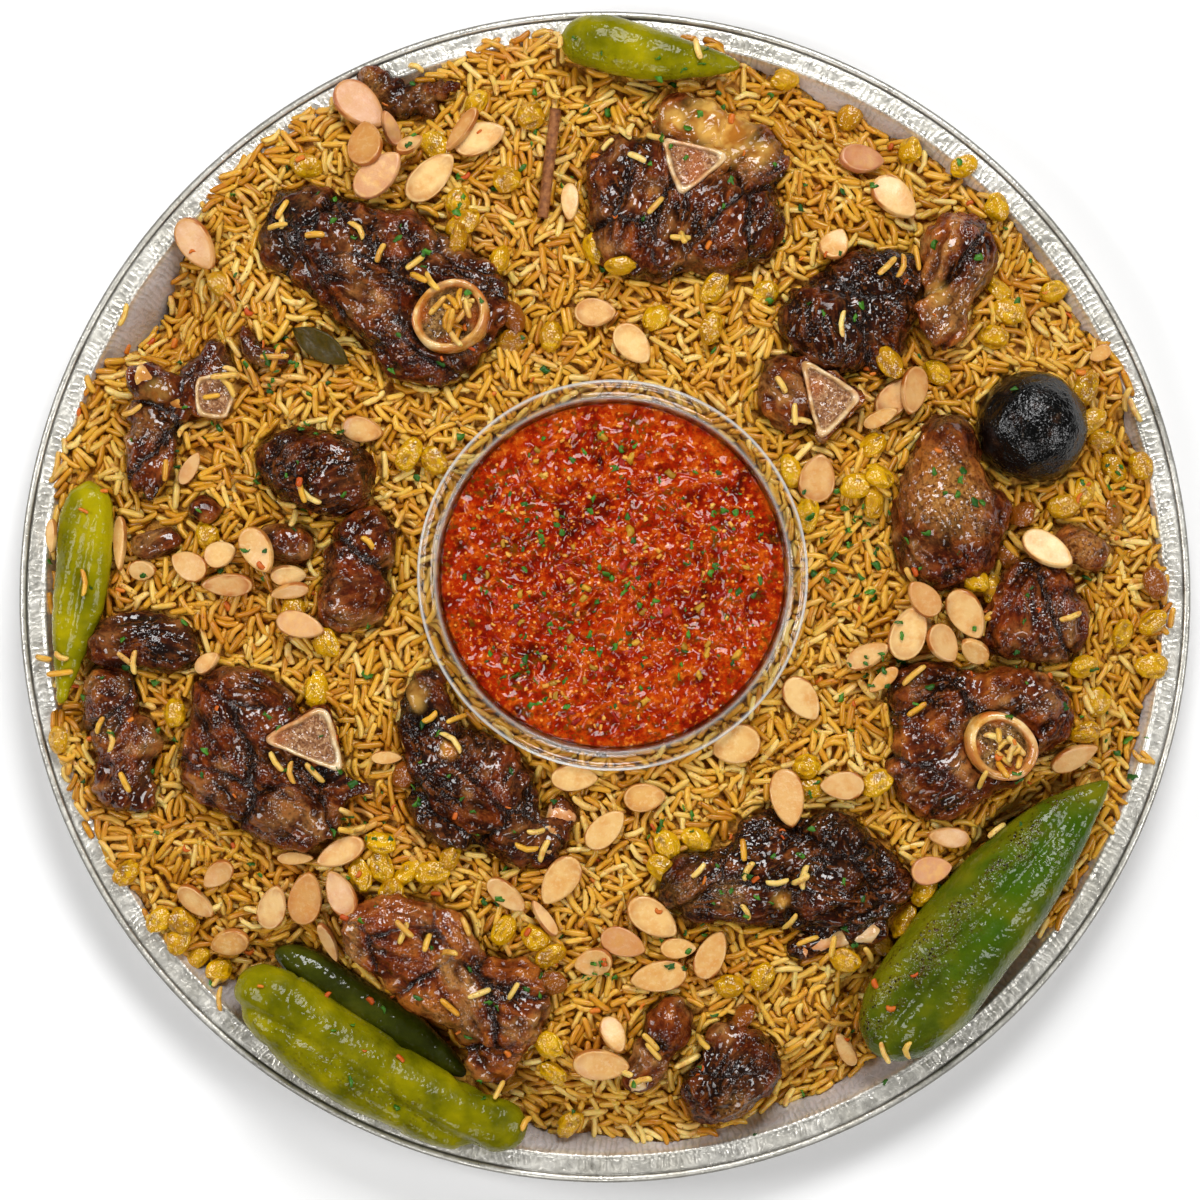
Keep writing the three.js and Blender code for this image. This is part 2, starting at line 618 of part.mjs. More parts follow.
// The hole that a sunken piece leaves in the rice: its plan outline with a gap, from its underside up
function pocket(solid) {
  const rays = 14;
  const margin = 0.5;
  const { min, max } = solid.boundingBox();
  const [cx, cy] = [(min[0] + max[0]) / 2, (min[1] + max[1]) / 2];
  const mesh = solid.getMesh();
  const radii = new Array(rays).fill(3);
  const sector = (2 * Math.PI) / rays;
  const polar = (x, y) => {
    const angle = (Math.atan2(y - cy, x - cx) + 2 * Math.PI) % (2 * Math.PI);
    return [angle, Math.hypot(x - cx, y - cy) + margin];
  };
  const spread = (x, y) => {
    const [angle, reach] = polar(x, y);
    const closest = Math.round(angle / sector) % rays;
    radii[closest] = Math.max(radii[closest], reach);
  };
  const cover = (x, y) => {
    const [angle, reach] = polar(x, y);
    const first = Math.floor(angle / sector) % rays;
    const second = (first + 1) % rays;
    const part = angle - first * sector;
    const across = radii[first] * Math.sin(part) + radii[second] * Math.sin(sector - part);
    const chord = (radii[first] * radii[second] * Math.sin(sector)) / across;
    if (reach <= chord) return;
    radii[first] *= reach / chord;
    radii[second] *= reach / chord;
  };
  const corner = (i) => mesh.vertProperties.subarray(i * mesh.numProp, i * mesh.numProp + 3);
  for (const visit of [spread, cover]) {
    for (let i = 0; i < mesh.triVerts.length; i += 3) {
      for (let k = 0; k < 3; k += 1) {
        const from = corner(mesh.triVerts[i + k]);
        const to = corner(mesh.triVerts[i + ((k + 1) % 3)]);
        for (const part of [0, 0.33, 0.67]) {
          visit(from[0] + (to[0] - from[0]) * part, from[1] + (to[1] - from[1]) * part);
        }
      }
    }
  }
  const outline = radii.map((r, k) => [cx + r * Math.cos(k * sector), cy + r * Math.sin(k * sector)]);
  return prism(outline, Math.max(min[2] - GAP, TUB_BASE + 1.5), 110);
}

// Almond half: an egg-shaped slab, pointed at one end, lying flat with its underside at 0
function almondGeometry(length, width) {
  const levels = [[0, 0.8], [0.45, 1], [1, 0.72]];
  const sides = 7;
  const positions = [];
  for (const [height, swell] of levels) {
    for (let k = 0; k < sides; k += 1) {
      const angle = (2 * Math.PI * k) / sides;
      const egg = 1 - 0.18 * Math.cos(angle);
      positions.push(
        (length / 2) * swell * Math.cos(angle),
        (width / 2) * swell * egg * Math.sin(angle),
        height * ALMOND_THICKNESS,
      );
    }
  }
  const corners = [];
  for (let k = 0; k < sides; k += 1) {
    const next = (k + 1) % sides;
    for (const low of [0, sides]) {
      corners.push(low + k, low + next, low + sides + next, low + k, low + sides + next, low + sides + k);
    }
  }
  for (let k = 1; k < sides - 1; k += 1) {
    corners.push(0, k + 1, k, 2 * sides, 2 * sides + k, 2 * sides + k + 1);
  }
  const geometry = new THREE.BufferGeometry();
  geometry.setAttribute("position", new THREE.Float32BufferAttribute(positions, 3));
  geometry.setIndex(corners);
  return geometry;
}

// Cinnamon: a thin quill rolled from both edges, lying along X with its underside at 0
function cinnamonGeometry() {
  const { length, width } = CINNAMON;
  const outline = [];
  for (let k = 0; k <= 9; k += 1) {
    const angle = THREE.MathUtils.degToRad(115 + k * 34.5);
    outline.push(new THREE.Vector2((width / 2) * Math.cos(angle), (width / 2) * Math.sin(angle) * 0.9));
  }
  outline.push(new THREE.Vector2(0.3, 0.2));
  const geometry = new THREE.ExtrudeGeometry(new THREE.Shape(outline), {
    depth: length,
    steps: 3,
    bevelEnabled: false,
  });
  geometry.translate(0, width * 0.45, -length / 2);
  geometry.rotateX(Math.PI / 2);
  geometry.rotateZ(Math.PI / 2);
  return geometry;
}

// Bay leaf: a thin wavy solid, pointed at both ends, with its underside over 0
function leafGeometry() {
  const { length, width, sheet } = LEAF;
  const [steps, rows] = [7, 2];
  const geometry = new THREE.BoxGeometry(length, width, sheet, steps, rows, 1);
  const places = geometry.getAttribute("position");
  for (let i = 0; i < places.count; i += 1) {
    const along = places.getX(i) / (length / 2);
    const taper = Math.max(Math.sqrt(1 - along ** 2 * 0.97), 0.15);
    const wave = 0.9 * Math.sin(along * 4) + 0.9 * Math.cos((places.getY(i) / width) * 5);
    places.setY(i, places.getY(i) * taper);
    places.setZ(i, places.getZ(i) + wave + 1.6);
  }
  return geometry;
}

function makeMaterial(colour, roughness, metalness = 0) {
  return new THREE.MeshStandardMaterial({ color: colour, roughness, metalness });
}

const MATERIALS = {
  tray: makeMaterial(0xc4c5c3, 0.35, 1),
  rice: makeMaterial(0xc9963c, 0.6),
  tub: new THREE.MeshStandardMaterial({ color: 0xe8eae8, roughness: 0.1, transparent: true, opacity: 0.3 }),
  sauce: makeMaterial(0xb23410, 0.3),
  meat: makeMaterial(0x4a2a1e, 0.45),
  pepper: makeMaterial(0x6b7d14, 0.25),
  pepperDark: makeMaterial(0x3f5a18, 0.25),
  lime: makeMaterial(0x17130f, 0.4),
  cinnamon: makeMaterial(0x7a4a22, 0.7),
  leaf: makeMaterial(0x5b5a22, 0.6),
  almond: makeMaterial(0xe9b877, 0.5),
};

const kabsa = new THREE.Group();
const dishes = new THREE.Group();
const food = new THREE.Group();
kabsa.add(dishes, food);

function addMesh(group, name, geometry, material) {
  const mesh = new THREE.Mesh(geometry, material.clone());
  mesh.name = name;
  group.add(mesh);
  return mesh;
}

addMesh(dishes, "tray", toGeometry(traySolid()), MATERIALS.tray);
addMesh(dishes, "tub", toGeometry(tubSolid()), MATERIALS.tub);
addMesh(food, "sauce", toGeometry(sauceSolid()), MATERIALS.sauce);

const traySpaceSolid = traySpace();
const tubSpaceSolid = tubSpace();

// Large pieces, each cut clear of the tray, the tub and those made before it
const placed = [];
function fitted(make) {
  let solid = make(0).intersect(traySpaceSolid).subtract(tubSpaceSolid);
  for (const other of placed) solid = solid.subtract(other.grown);
  return solid;
}

function place(name, make, solid, material) {
  const body = mainBody(solid);
  placed.push({ body, grown: make(GAP) });
  addMesh(food, name, toGeometry(body), material);
}

// Peppers and the black lime are sunk in the rice
for (const [name, pepper] of Object.entries(PEPPERS).reverse()) {
  const material = name === "pepper_dark" ? MATERIALS.pepperDark : MATERIALS.pepper;
  const make = (grow) => pepperSolid(pepper, grow);
  place(name, make, fitted(make), material);
}
place("black_lime", limeSolid, fitted(limeSolid), MATERIALS.lime);

const pockets = wasm.Manifold.union(placed.map(({ body }) => pocket(body)));
const rice = mainBody(heapSolid().intersect(traySpaceSolid).subtract(tubSpaceSolid).subtract(pockets));
const riceMesh = addMesh(food, "rice", toGeometry(rice), MATERIALS.rice);

const caster = new THREE.Raycaster();
const down = new THREE.Vector3(0, 0, -1);
const SKY = 200;

// Height of the highest of some meshes at a place, or undefined
function heightOf(meshes, x, y) {
  caster.set(new THREE.Vector3(x, y, SKY), down);
  return caster.intersectObjects(meshes, false)[0]?.point.z;
}

// The plane that follows some samples [u, v, height] and clears them all
function clearPlane(samples, steepest) {
  const mean = (pick) => samples.reduce((sum, sample) => sum + pick(sample), 0) / samples.length;
  const centre = [mean((s) => s[0]), mean((s) => s[1]), mean((s) => s[2])];
  const slopes = [0, 1].map((k) => {
    const spread = mean((s) => (s[k] - centre[k]) ** 2);
    const slope = mean((s) => (s[k] - centre[k]) * (s[2] - centre[2])) / spread;
    return THREE.MathUtils.clamp(slope, -steepest, steepest);
  });
  const base = Math.max(...samples.map(([u, v, h]) => h - slopes[0] * u - slopes[1] * v));
  return { slopes, base };
}

// Cuts a lump flat where it rests on the rice
function rested(solid) {
  const probe = new THREE.Mesh(toGeometry(solid));
  const { min, max } = solid.boundingBox();
  const step = 4;
  const samples = [];
  for (let x = min[0]; x < max[0]; x += step) {
    for (let y = min[1]; y < max[1]; y += step) {
      if (heightOf([probe], x, y) === undefined) continue;
      const height = heightOf([riceMesh], x, y);
      if (height !== undefined) samples.push([x, y, height]);
    }
  }
  const { slopes, base } = clearPlane(samples, 0.35);
  const reach = 200;
  const slab = new THREE.BoxGeometry(reach, reach, reach);
  slab.translate(0, 0, -reach / 2);
  const [x, y] = [(min[0] + max[0]) / 2, (min[1] + max[1]) / 2];
  const normal = new THREE.Vector3(-slopes[0], -slopes[1], 1).normalize();
  slab.applyQuaternion(new THREE.Quaternion().setFromUnitVectors(new THREE.Vector3(0, 0, 1), normal));
  slab.translate(x, y, base + slopes[0] * x + slopes[1] * y + GAP);
  let cut;
  do {
    slab.translate(0, 0, GAP);
    cut = solid.subtract(toSolid(slab));
  } while (cut.intersect(rice).volume() > 0);
  return cut;
}

for (const [name, lobes] of Object.entries(MEATS)) {
  const bone = BONES[name];
  const make = (grow) => {
    const meat = meatSolid(lobes, grow);
    return bone ? meat.add(boneSolid(bone, grow)) : meat;
  };
  place(name, make, rested(mainBody(fitted(make))), MATERIALS.meat);
}

// Lays a thin piece on whatever is under it, leaning as it does
function settle(name, geometry, material, { x, y, length, width, turn }) {
  const angle = THREE.MathUtils.degToRad(turn);
  const samples = [];
  for (let i = -4; i <= 4; i += 1) {
    for (let j = -3; j <= 3; j += 1) {
      const [u, v] = [(i / 4) * (length / 2), (j / 3) * (width / 2)];
      const px = x + u * Math.cos(angle) - v * Math.sin(angle);
      const py = y + u * Math.sin(angle) + v * Math.cos(angle);
      const height = heightOf(food.children, px, py);
      if (height !== undefined) samples.push([u, v, height]);
    }
  }
  const { slopes, base } = clearPlane(samples, 0.35);
  const mesh = addMesh(food, name, toGeometry(toSolid(geometry)), material);
  mesh.position.set(x, y, base + 2 * GAP);
  mesh.rotation.order = "ZXY";
  mesh.rotation.set(Math.atan(slopes[1]), -Math.atan(slopes[0]), angle);
  mesh.updateMatrixWorld(true);
}

food.updateMatrixWorld(true);
settle("cinnamon_stick", cinnamonGeometry(), MATERIALS.cinnamon, CINNAMON);
settle("bay_leaf", leafGeometry(), MATERIALS.leaf, LEAF);
ALMONDS.forEach(([x, y, length, width, turn], i) => {
  const name = `almond_${String(i + 1).padStart(2, "0")}`;
  settle(name, almondGeometry(length, width), MATERIALS.almond, { x, y, length, width, turn });
});

export default kabsa;
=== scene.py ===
"""Plate of kabsa: the looks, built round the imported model.

Blender works in metres. The shapes here are worked out in millimetres as numpy arrays
and turned into metres when a mesh is made. +Z is up, +X is right and +Y is the far side.
A shape is its places, its faces and its tints, which are numbers that the materials read.
"""
import math
from types import SimpleNamespace

import bpy
import numpy as np
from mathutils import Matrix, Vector
from mathutils.bvhtree import BVHTree


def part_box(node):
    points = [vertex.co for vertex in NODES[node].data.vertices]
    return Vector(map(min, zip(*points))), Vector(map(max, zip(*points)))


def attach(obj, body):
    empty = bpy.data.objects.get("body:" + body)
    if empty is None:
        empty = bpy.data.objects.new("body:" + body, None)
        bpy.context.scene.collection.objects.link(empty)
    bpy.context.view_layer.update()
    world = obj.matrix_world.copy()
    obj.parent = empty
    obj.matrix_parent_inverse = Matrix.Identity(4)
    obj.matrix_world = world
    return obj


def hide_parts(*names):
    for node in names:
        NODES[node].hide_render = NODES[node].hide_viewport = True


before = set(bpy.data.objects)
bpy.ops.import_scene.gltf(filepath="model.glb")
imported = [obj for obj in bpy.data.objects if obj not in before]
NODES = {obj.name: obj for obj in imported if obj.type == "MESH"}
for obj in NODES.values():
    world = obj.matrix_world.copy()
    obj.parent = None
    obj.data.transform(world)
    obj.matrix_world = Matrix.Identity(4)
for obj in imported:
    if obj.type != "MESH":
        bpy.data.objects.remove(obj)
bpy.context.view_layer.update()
MM = 0.001

PHOTO_SIZE = 1200
PHOTO_CENTRE = (605, 597)  # pixel of the photograph over the middle of the tray
MM_PER_PIXEL = 0.39  # at the height of the rim
CAMERA_HEIGHT = 3000


# Random numbers and noise


def random(seed):
    return np.random.default_rng(seed)


def lattice(ix, iy, iz, seed):
    """Repeatable values from -1 to 1 at whole-number places."""
    n = ix * 374761393 + iy * 668265263 + iz * 1440670441 + seed * 1013904223
    n = (n ^ (n >> 13)) & 0xFFFFFFFF
    n = (n * 1274126177) & 0xFFFFFFFF
    n = (n ^ (n >> 16)) & 0xFFFFFF
    return n / 8388607.5 - 1


def noise(p, wave, seed=0):
    """Smooth noise from about -1 to 1 at places p, with one bump each wave millimetres."""
    q = p / wave + 1000
    base = np.floor(q).astype(np.int64)
    f = q - base
    f = f * f * (3 - 2 * f)
    total = 0
    for corner in np.ndindex(2, 2, 2):
        x, y, z = np.where(corner, f, 1 - f).T
        total = total + x * y * z * lattice(*(base + corner).T, seed)
    return total


def twist_matrix(a=0.7, b=0.55):
    """A turn about two axes, which keeps the noise's lattice from showing as rows."""
    level = np.array([[math.cos(a), -math.sin(a), 0], [math.sin(a), math.cos(a), 0], [0, 0, 1]])
    tilt = np.array([[1, 0, 0], [0, math.cos(b), -math.sin(b)], [0, math.sin(b), math.cos(b)]])
    return level @ tilt


TWIST = twist_matrix()


def layered(p, wave, octaves=3, seed=0):
    """Noise with finer noise on it."""
    total, size = 0, 1
    for octave in range(octaves):
        p = p @ TWIST
        total = total + size * noise(p, wave / 2**octave, seed + 17 * octave)
        size *= 0.5
    return total / (2 - 2 ** (1 - octaves))


def flat(x, y, z=0.0):
    """Places in the plane z as rows of x, y, z."""
    x = np.asarray(x, float)
    return np.stack([x, np.asarray(y, float), np.full(x.shape, z)], -1).reshape(-1, 3)


# Meshes


def add_mesh(name, places, faces, tint=None, smooth=True):
    """A mesh from places in millimetres and faces that all have the same number of corners."""
    faces = np.asarray(faces, np.int32)
    mesh = bpy.data.meshes.new(name)
    mesh.vertices.add(len(places))
    mesh.vertices.foreach_set("co", (np.asarray(places, np.float64) * MM).astype(np.float32).ravel())
    mesh.loops.add(faces.size)
    mesh.loops.foreach_set("vertex_index", faces.ravel())
    mesh.polygons.add(len(faces))
    mesh.polygons.foreach_set("loop_start", np.arange(0, faces.size, faces.shape[1], dtype=np.int32))
    mesh.polygons.foreach_set("use_smooth", np.full(len(faces), smooth))
    mesh.update(calc_edges=True)
    for key, values in (tint or {}).items():
        values = np.asarray(values, np.float32)
        if values.ndim == 2:
            mesh.attributes.new(key, "FLOAT_VECTOR", "POINT").data.foreach_set("vector", values.ravel())
        else:
            values = np.ascontiguousarray(np.broadcast_to(values, len(places)))
            mesh.attributes.new(key, "FLOAT", "POINT").data.foreach_set("value", values)
    obj = bpy.data.objects.new(name, mesh)
    bpy.context.scene.collection.objects.link(obj)
    return obj


def add_piece(name, shape, material, slot, *nodes):
    """A piece of the plate that stands for some CAD nodes, or for none."""
    piece = add_mesh(name, *shape)
    piece.data.materials.append(material)
    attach(piece, "root")
    if nodes:
        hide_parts(*nodes)


def triangles(quads):
    return np.concatenate([quads[:, [0, 1, 2]], quads[:, [0, 2, 3]]])


def joined(shapes):
    """Many small shapes as one."""
    places, faces, tints, start = [], [], {}, 0
    for part_places, part_faces, part_tint in shapes:
        places.append(part_places)
        faces.append(part_faces + start)
        for key, values in part_tint.items():
            tints.setdefault(key, []).append(np.broadcast_to(values, len(part_places)))
        start += len(part_places)
    return np.concatenate(places), np.concatenate(faces), {key: np.concatenate(v) for key, v in tints.items()}


def sweep_faces(rings, sides):
    """Quads between rings of the same number of sides."""
    index = np.arange(rings * sides).reshape(rings, sides)
    following = np.roll(index, -1, 1)
    return np.stack([index[:-1], following[:-1], following[1:], index[1:]], -1).reshape(-1, 4)


def circle(sides):
    return np.arange(sides) * 2 * math.pi / sides


def capped(rings, low, high):
    """A closed skin over rings of places, with a tip at either end."""
    rings = np.asarray(rings)
    count, sides, _ = rings.shape
    k = np.arange(sides)
    following = (k + 1) % sides
    last, tip = (count - 1) * sides, count * sides
    caps = [(np.full(sides, tip), following, k), (np.full(sides, tip + 1), last + k, last + following)]
    faces = [triangles(sweep_faces(count, sides))] + [np.stack(cap, -1) for cap in caps]
    return np.concatenate([rings.reshape(-1, 3), [low, high]]), np.concatenate(faces)


def turned(profile, segments, x=0.0, y=0.0, shift=None):
    """A surface turned round the vertical line through x, y, from rows of radius and height.

    The profile starts and ends on that line, and shift moves the places off the plain form."""
    profile = np.asarray(profile, float)
    inner = profile[1:-1]
    radius, height = np.repeat(inner, segments, axis=0).T
    around = np.tile(circle(segments), len(inner))
    if shift:
        radius, height = shift(radius, height, around)
    rings = np.stack([x + radius * np.cos(around), y + radius * np.sin(around), height], -1)
    return capped(rings.reshape(-1, segments, 3), (x, y, profile[0, 1]), (x, y, profile[-1, 1]))


def leaf_solid(sheet, columns, rows, thick):
    """A thin solid on both sides of a sheet of places, whose faces are split alike."""
    index = np.arange(columns * rows).reshape(rows, columns)
    quads = np.stack([index[:-1, :-1], index[:-1, 1:], index[1:, 1:], index[1:, :-1]], -1).reshape(-1, 4)
    upper = triangles(quads)
    rim = np.concatenate([index[0], index[1:, -1], index[-1, -2::-1], index[-2:0:-1, 0]])
    following, count = np.roll(rim, -1), columns * rows
    sides = np.stack([rim + count, following + count, following, rim], -1)
    faces = np.concatenate([upper, upper[:, ::-1] + count, triangles(sides)])
    return np.concatenate([sheet + [0, 0, thick], sheet - [0, 0, thick]]), faces


def arrays_of(mesh):
    """Places in millimetres, normals and triangles of a Blender mesh."""
    places = np.empty(len(mesh.vertices) * 3, np.float32)
    mesh.vertices.foreach_get("co", places)
    normals = np.empty(len(mesh.vertices) * 3, np.float32)
    mesh.vertices.foreach_get("normal", normals)
    mesh.calc_loop_triangles()
    faces = np.empty(len(mesh.loop_triangles) * 3, np.int32)
    mesh.loop_triangles.foreach_get("vertices", faces)
    return places.reshape(-1, 3) / MM, normals.reshape(-1, 3), faces.reshape(-1, 3)


def softened(node, voxel, rounds):
    """A CAD node's shape as an even fine mesh with its facets smoothed away."""
    work = bpy.data.objects.new("work", NODES[node].data.copy())
    bpy.context.scene.collection.objects.link(work)
    remesh = work.modifiers.new("remesh", "REMESH")
    remesh.mode = "VOXEL"
    remesh.voxel_size = voxel * MM
    smooth = work.modifiers.new("smooth", "SMOOTH")
    smooth.factor = 0.5
    smooth.iterations = rounds
    bpy.context.view_layer.update()
    mesh = bpy.data.meshes.new_from_object(work.evaluated_get(bpy.context.evaluated_depsgraph_get()))
    bpy.data.objects.remove(work)
    found = arrays_of(mesh)
    bpy.data.meshes.remove(mesh)
    return found


def vertex_normals(places, faces):
    a, b, c = (places[faces[:, k]] for k in range(3))
    normals = np.zeros_like(places)
    for k in range(3):
        np.add.at(normals, faces[:, k], np.cross(b - a, c - a))
    return normals / np.maximum(np.linalg.norm(normals, axis=1, keepdims=True), 1e-9)


def axes_of(places):
    """The middle of some places, and as columns the directions in which they reach least to most."""
    centre = places.mean(0)
    return centre, np.linalg.eigh(np.cov((places - centre).T))[1]


def turned_to(places, centre, along, up):
    """Places in a frame with x along and z up, set at centre."""
    along = np.asarray(along, float) / np.linalg.norm(along)
    side = np.cross(up, along)
    side /= np.linalg.norm(side)
    up = np.cross(along, side)
    return centre + places[:, :1] * along + places[:, 1:2] * side + places[:, 2:3] * up


# Heights over the plate, on a square grid of places

CELL = 1.0
HALF = 232
SIDE = int(2 * HALF / CELL) + 1
GRID_X, GRID_Y = np.meshgrid(np.linspace(-HALF, HALF, SIDE), np.linspace(-HALF, HALF, SIDE))
NOWHERE, SKY = -100.0, 400.0  # heights that stand for nothing below and nothing above
AROUND = [(dy, dx) for dy in (-1, 0, 1) for dx in (-1, 0, 1)]


def height_map(level):
    return np.full((SIDE, SIDE), level)


def cells(x, y):
    """Row and column of places in the grid."""
    return tuple(np.clip(np.rint((np.asarray(v) + HALF) / CELL).astype(int), 0, SIDE - 1) for v in (y, x))


def stamp(heights, places):
    """Raises a height map to some places."""
    np.maximum.at(heights, cells(places[:, 0], places[:, 1]), places[:, 2])


def spread_points(places, faces, spacing=0.7):
    """Places all over the triangles, about spacing apart."""
    a, b, c = (places[faces[:, k]] for k in range(3))
    area = np.linalg.norm(np.cross(b - a, c - a), axis=1) / 2
    steps = np.clip(np.ceil(np.sqrt(area) * 1.5 / spacing).astype(int), 1, 40)
    found = [places]
    for count in np.unique(steps):
        chosen = steps == count
        i, j = np.meshgrid(np.arange(count + 1), np.arange(count + 1))
        inside = i + j <= count
        for s, t in zip(i[inside] / count, j[inside] / count):
            found.append(a[chosen] * (1 - s - t) + b[chosen] * s + c[chosen] * t)
    return np.concatenate(found)


def blurred(values, reach):
    """Values smoothed over a window that grows with reach, in millimetres."""
    kernel = np.hanning(2 * int(reach / CELL) + 3)[1:-1]
    kernel /= kernel.sum()
    for axis in (1, 0):
        values = np.apply_along_axis(lambda line: np.convolve(line, kernel, "same"), axis, values)
    return values


def blurred_where(values, known, reach):
    weight = blurred(known.astype(float), reach)
    found = blurred(np.where(known, values, 0), reach) / np.maximum(weight, 1e-3)
    return np.where(weight > 1e-3, found, NOWHERE)


def shifted(values, dy, dx):
    return np.roll(values, (dy, dx), (0, 1))


def widened(mask, reach):
    """A mask grown by reach, in millimetres."""
    steps = int(reach / CELL)
    moves = [(dy, dx) for dy in range(-steps, steps + 1) for dx in range(-steps, steps + 1)
             if math.hypot(dy, dx) <= reach / CELL]
    return np.any([shifted(mask, *move) for move in moves], axis=0)


def node_heights(*names):
    """Height of the upper side of some CAD nodes, where they are."""
    heights = height_map(NOWHERE)
    for name in names:
        places, _, faces = arrays_of(NODES[name].data)
        stamp(heights, spread_points(places, faces))
    return heights


def height_on(name, x, y):
    """Height of the top of a CAD node at a place."""
    places, _, faces = arrays_of(NODES[name].data)
    tree = BVHTree.FromPolygons([Vector(p) for p in places], [tuple(f) for f in faces])
    return tree.ray_cast(Vector((x, y, 300)), Vector((0, 0, -1)))[0].z


# Materials


def linear(*colour):
    """A colour as seen on a screen, 0 to 255, as the shader's linear value."""
    shares = [value / 255 for value in colour]
    return (*[v / 12.92 if v <= 0.04045 else ((v + 0.055) / 1.055) ** 2.4 for v in shares], 1.0)


class Paint:
    """A node material that is built step by step. Its colour grows as marks are laid over it."""

    def __init__(self, name, **settings):
        self.material = bpy.data.materials.new(name)
        self.material.use_nodes = True
        self.tree = self.material.node_tree
        self.inputs = self.tree.nodes["Principled BSDF"].inputs
        for key, value in settings.items():
            self.inputs[key.replace("_", " ")].default_value = value
        self.coordinates = self.add("TexCoord").outputs["Object"]
        self.colour = None

    def feed(self, socket, value):
        """Gives a socket another node's output, a plain value or nothing."""
        if isinstance(value, bpy.types.NodeSocket):
            self.tree.links.new(value, socket)
        elif value is not None:
            socket.default_value = value

    def add(self, kind, inputs=None, **values):
        node = self.tree.nodes.new("ShaderNode" + kind)
        for key, value in values.items():
            setattr(node, key, value)
        for key, value in (inputs or {}).items():
            self.feed(node.inputs[key], value)
        return node

    def attribute(self, name, output="Fac"):
        return self.add("Attribute", attribute_name=name).outputs[output]

    def noise(self, wave, detail=3.0, roughness=0.55, distortion=0.0, source=None):
        """Noise with one bump each wave millimetres, from about 0.3 to 0.7."""
        return self.add("TexNoise", {
            "Scale": 1000 / wave, "Detail": detail, "Roughness": roughness, "Distortion": distortion,
            "Vector": source or self.coordinates}).outputs["Fac"]

    def strands(self, *settings):
        """Noise drawn out along the fibres that the mesh's strands attribute describes."""
        return self.noise(*settings, source=self.attribute("strands", "Vector"))

    def cells(self, wave):
        """How far each place is from the nearest of scattered points."""
        return self.add("TexVoronoi", {"Scale": 1000 / wave, "Vector": self.coordinates}).outputs["Distance"]

    def span(self, source, low, high, start=0.0, end=1.0):
        """Takes low..high to start..end, clamped."""
        return self.add("MapRange", {
            "Value": source, "From Min": low, "From Max": high, "To Min": start, "To Max": end}).outputs["Result"]

    def math(self, operation, *values):
        return self.add("Math", dict(enumerate(values)), operation=operation).outputs["Value"]

    def times(self, a, b):
        return self.math("MULTIPLY", a, b)

    def ramp(self, source, *stops):
        """Colours along source, from rows of place, red, green and blue."""
        node = self.add("ValToRGB", {"Fac": source})
        elements = node.color_ramp.elements
        while len(elements) < len(stops):
            elements.new(0.5)
        for element, (place, *colour) in zip(elements, stops):
            element.position, element.color = place, linear(*colour)
        return node.outputs["Color"]

    def mix(self, share, a, b):
        """Colour a with a share of colour b over it."""
        a, b = (linear(*colour) if isinstance(colour, tuple) else colour for colour in (a, b))
        return self.add("Mix", {0: share, 6: a, 7: b}, data_type="RGBA").outputs[2]

    def lay(self, colour, mark, *limits):
        """Lays a colour over the paint where a mark is, or where it is within limits as span takes them."""
        self.colour = self.mix(self.span(mark, *limits) if limits else mark, self.colour, colour)

    def bump(self, source, height, previous=None):
        """Relief of the given height in millimetres."""
        return self.add("Bump", {
            "Strength": 1.0, "Distance": height * MM, "Height": source, "Normal": previous}).outputs["Normal"]

    def mottled(self, wave, detail, low, high):
        """A roughness that wanders between two values."""
        return self.span(self.noise(wave, detail), 0.35, 0.65, low, high)

    def finish(self, roughness=None, normal=None, coat=None):
        for key, value in (("Base Color", self.colour), ("Roughness", roughness), ("Normal", normal),
                           ("Coat Normal", coat)):
            self.feed(self.inputs[key], value)
        return self.material


# Tray

TRAY = SimpleNamespace(radius=228.5, bead=225.6, band=219.4, wall_top=217.4, base=203.6,
                       band_height=20.7, bead_height=22.4, sheet=0.9)
TRAY_SEGMENTS = 900
PLEATS = 560.0  # fine folds round the band
BEAD_KNURLS = 410


def tray_profile():
    """Radius and height from the middle of the upper side, round the bead, to the middle underneath."""
    t, sheet, level = TRAY, TRAY.sheet, TRAY.band_height
    points = [(0, sheet), (100, sheet), (180, sheet), (t.base - 3, sheet), (t.base, sheet + 0.5)]
    for share in np.linspace(0, 1, 12)[1:]:
        points.append((t.base + (t.wall_top - t.base) * share, sheet + 0.5 + (level - sheet - 0.9) * share))
    points += [(t.wall_top + 0.5, level + 0.2), (t.band - 0.9, level + 0.6), (t.band - 0.3, level + 0.35)]
    for share in np.linspace(0, 1, 8):
        points.append((t.band + 0.2 + (t.bead - t.band - 0.6) * share, level))
    bead_radius = (t.radius - t.bead) / 2
    for angle in np.radians(np.linspace(200, -90, 12)):
        points.append((t.bead + bead_radius + bead_radius * math.cos(angle),
                       t.bead_height - bead_radius + bead_radius * math.sin(angle)))
    under = level - sheet
    points += [(t.bead - 0.2, under - 0.1), (t.band, under), (t.wall_top + 1, under - 0.3)]
    for share in np.linspace(1, 0, 9):
        points.append((t.base + 0.8 + (t.wall_top - t.base - 0.2) * share, 0.5 + (under - 1.2) * share))
    return points + [(t.base - 1, 0), (195, 0), (100, 0), (0, 0)]


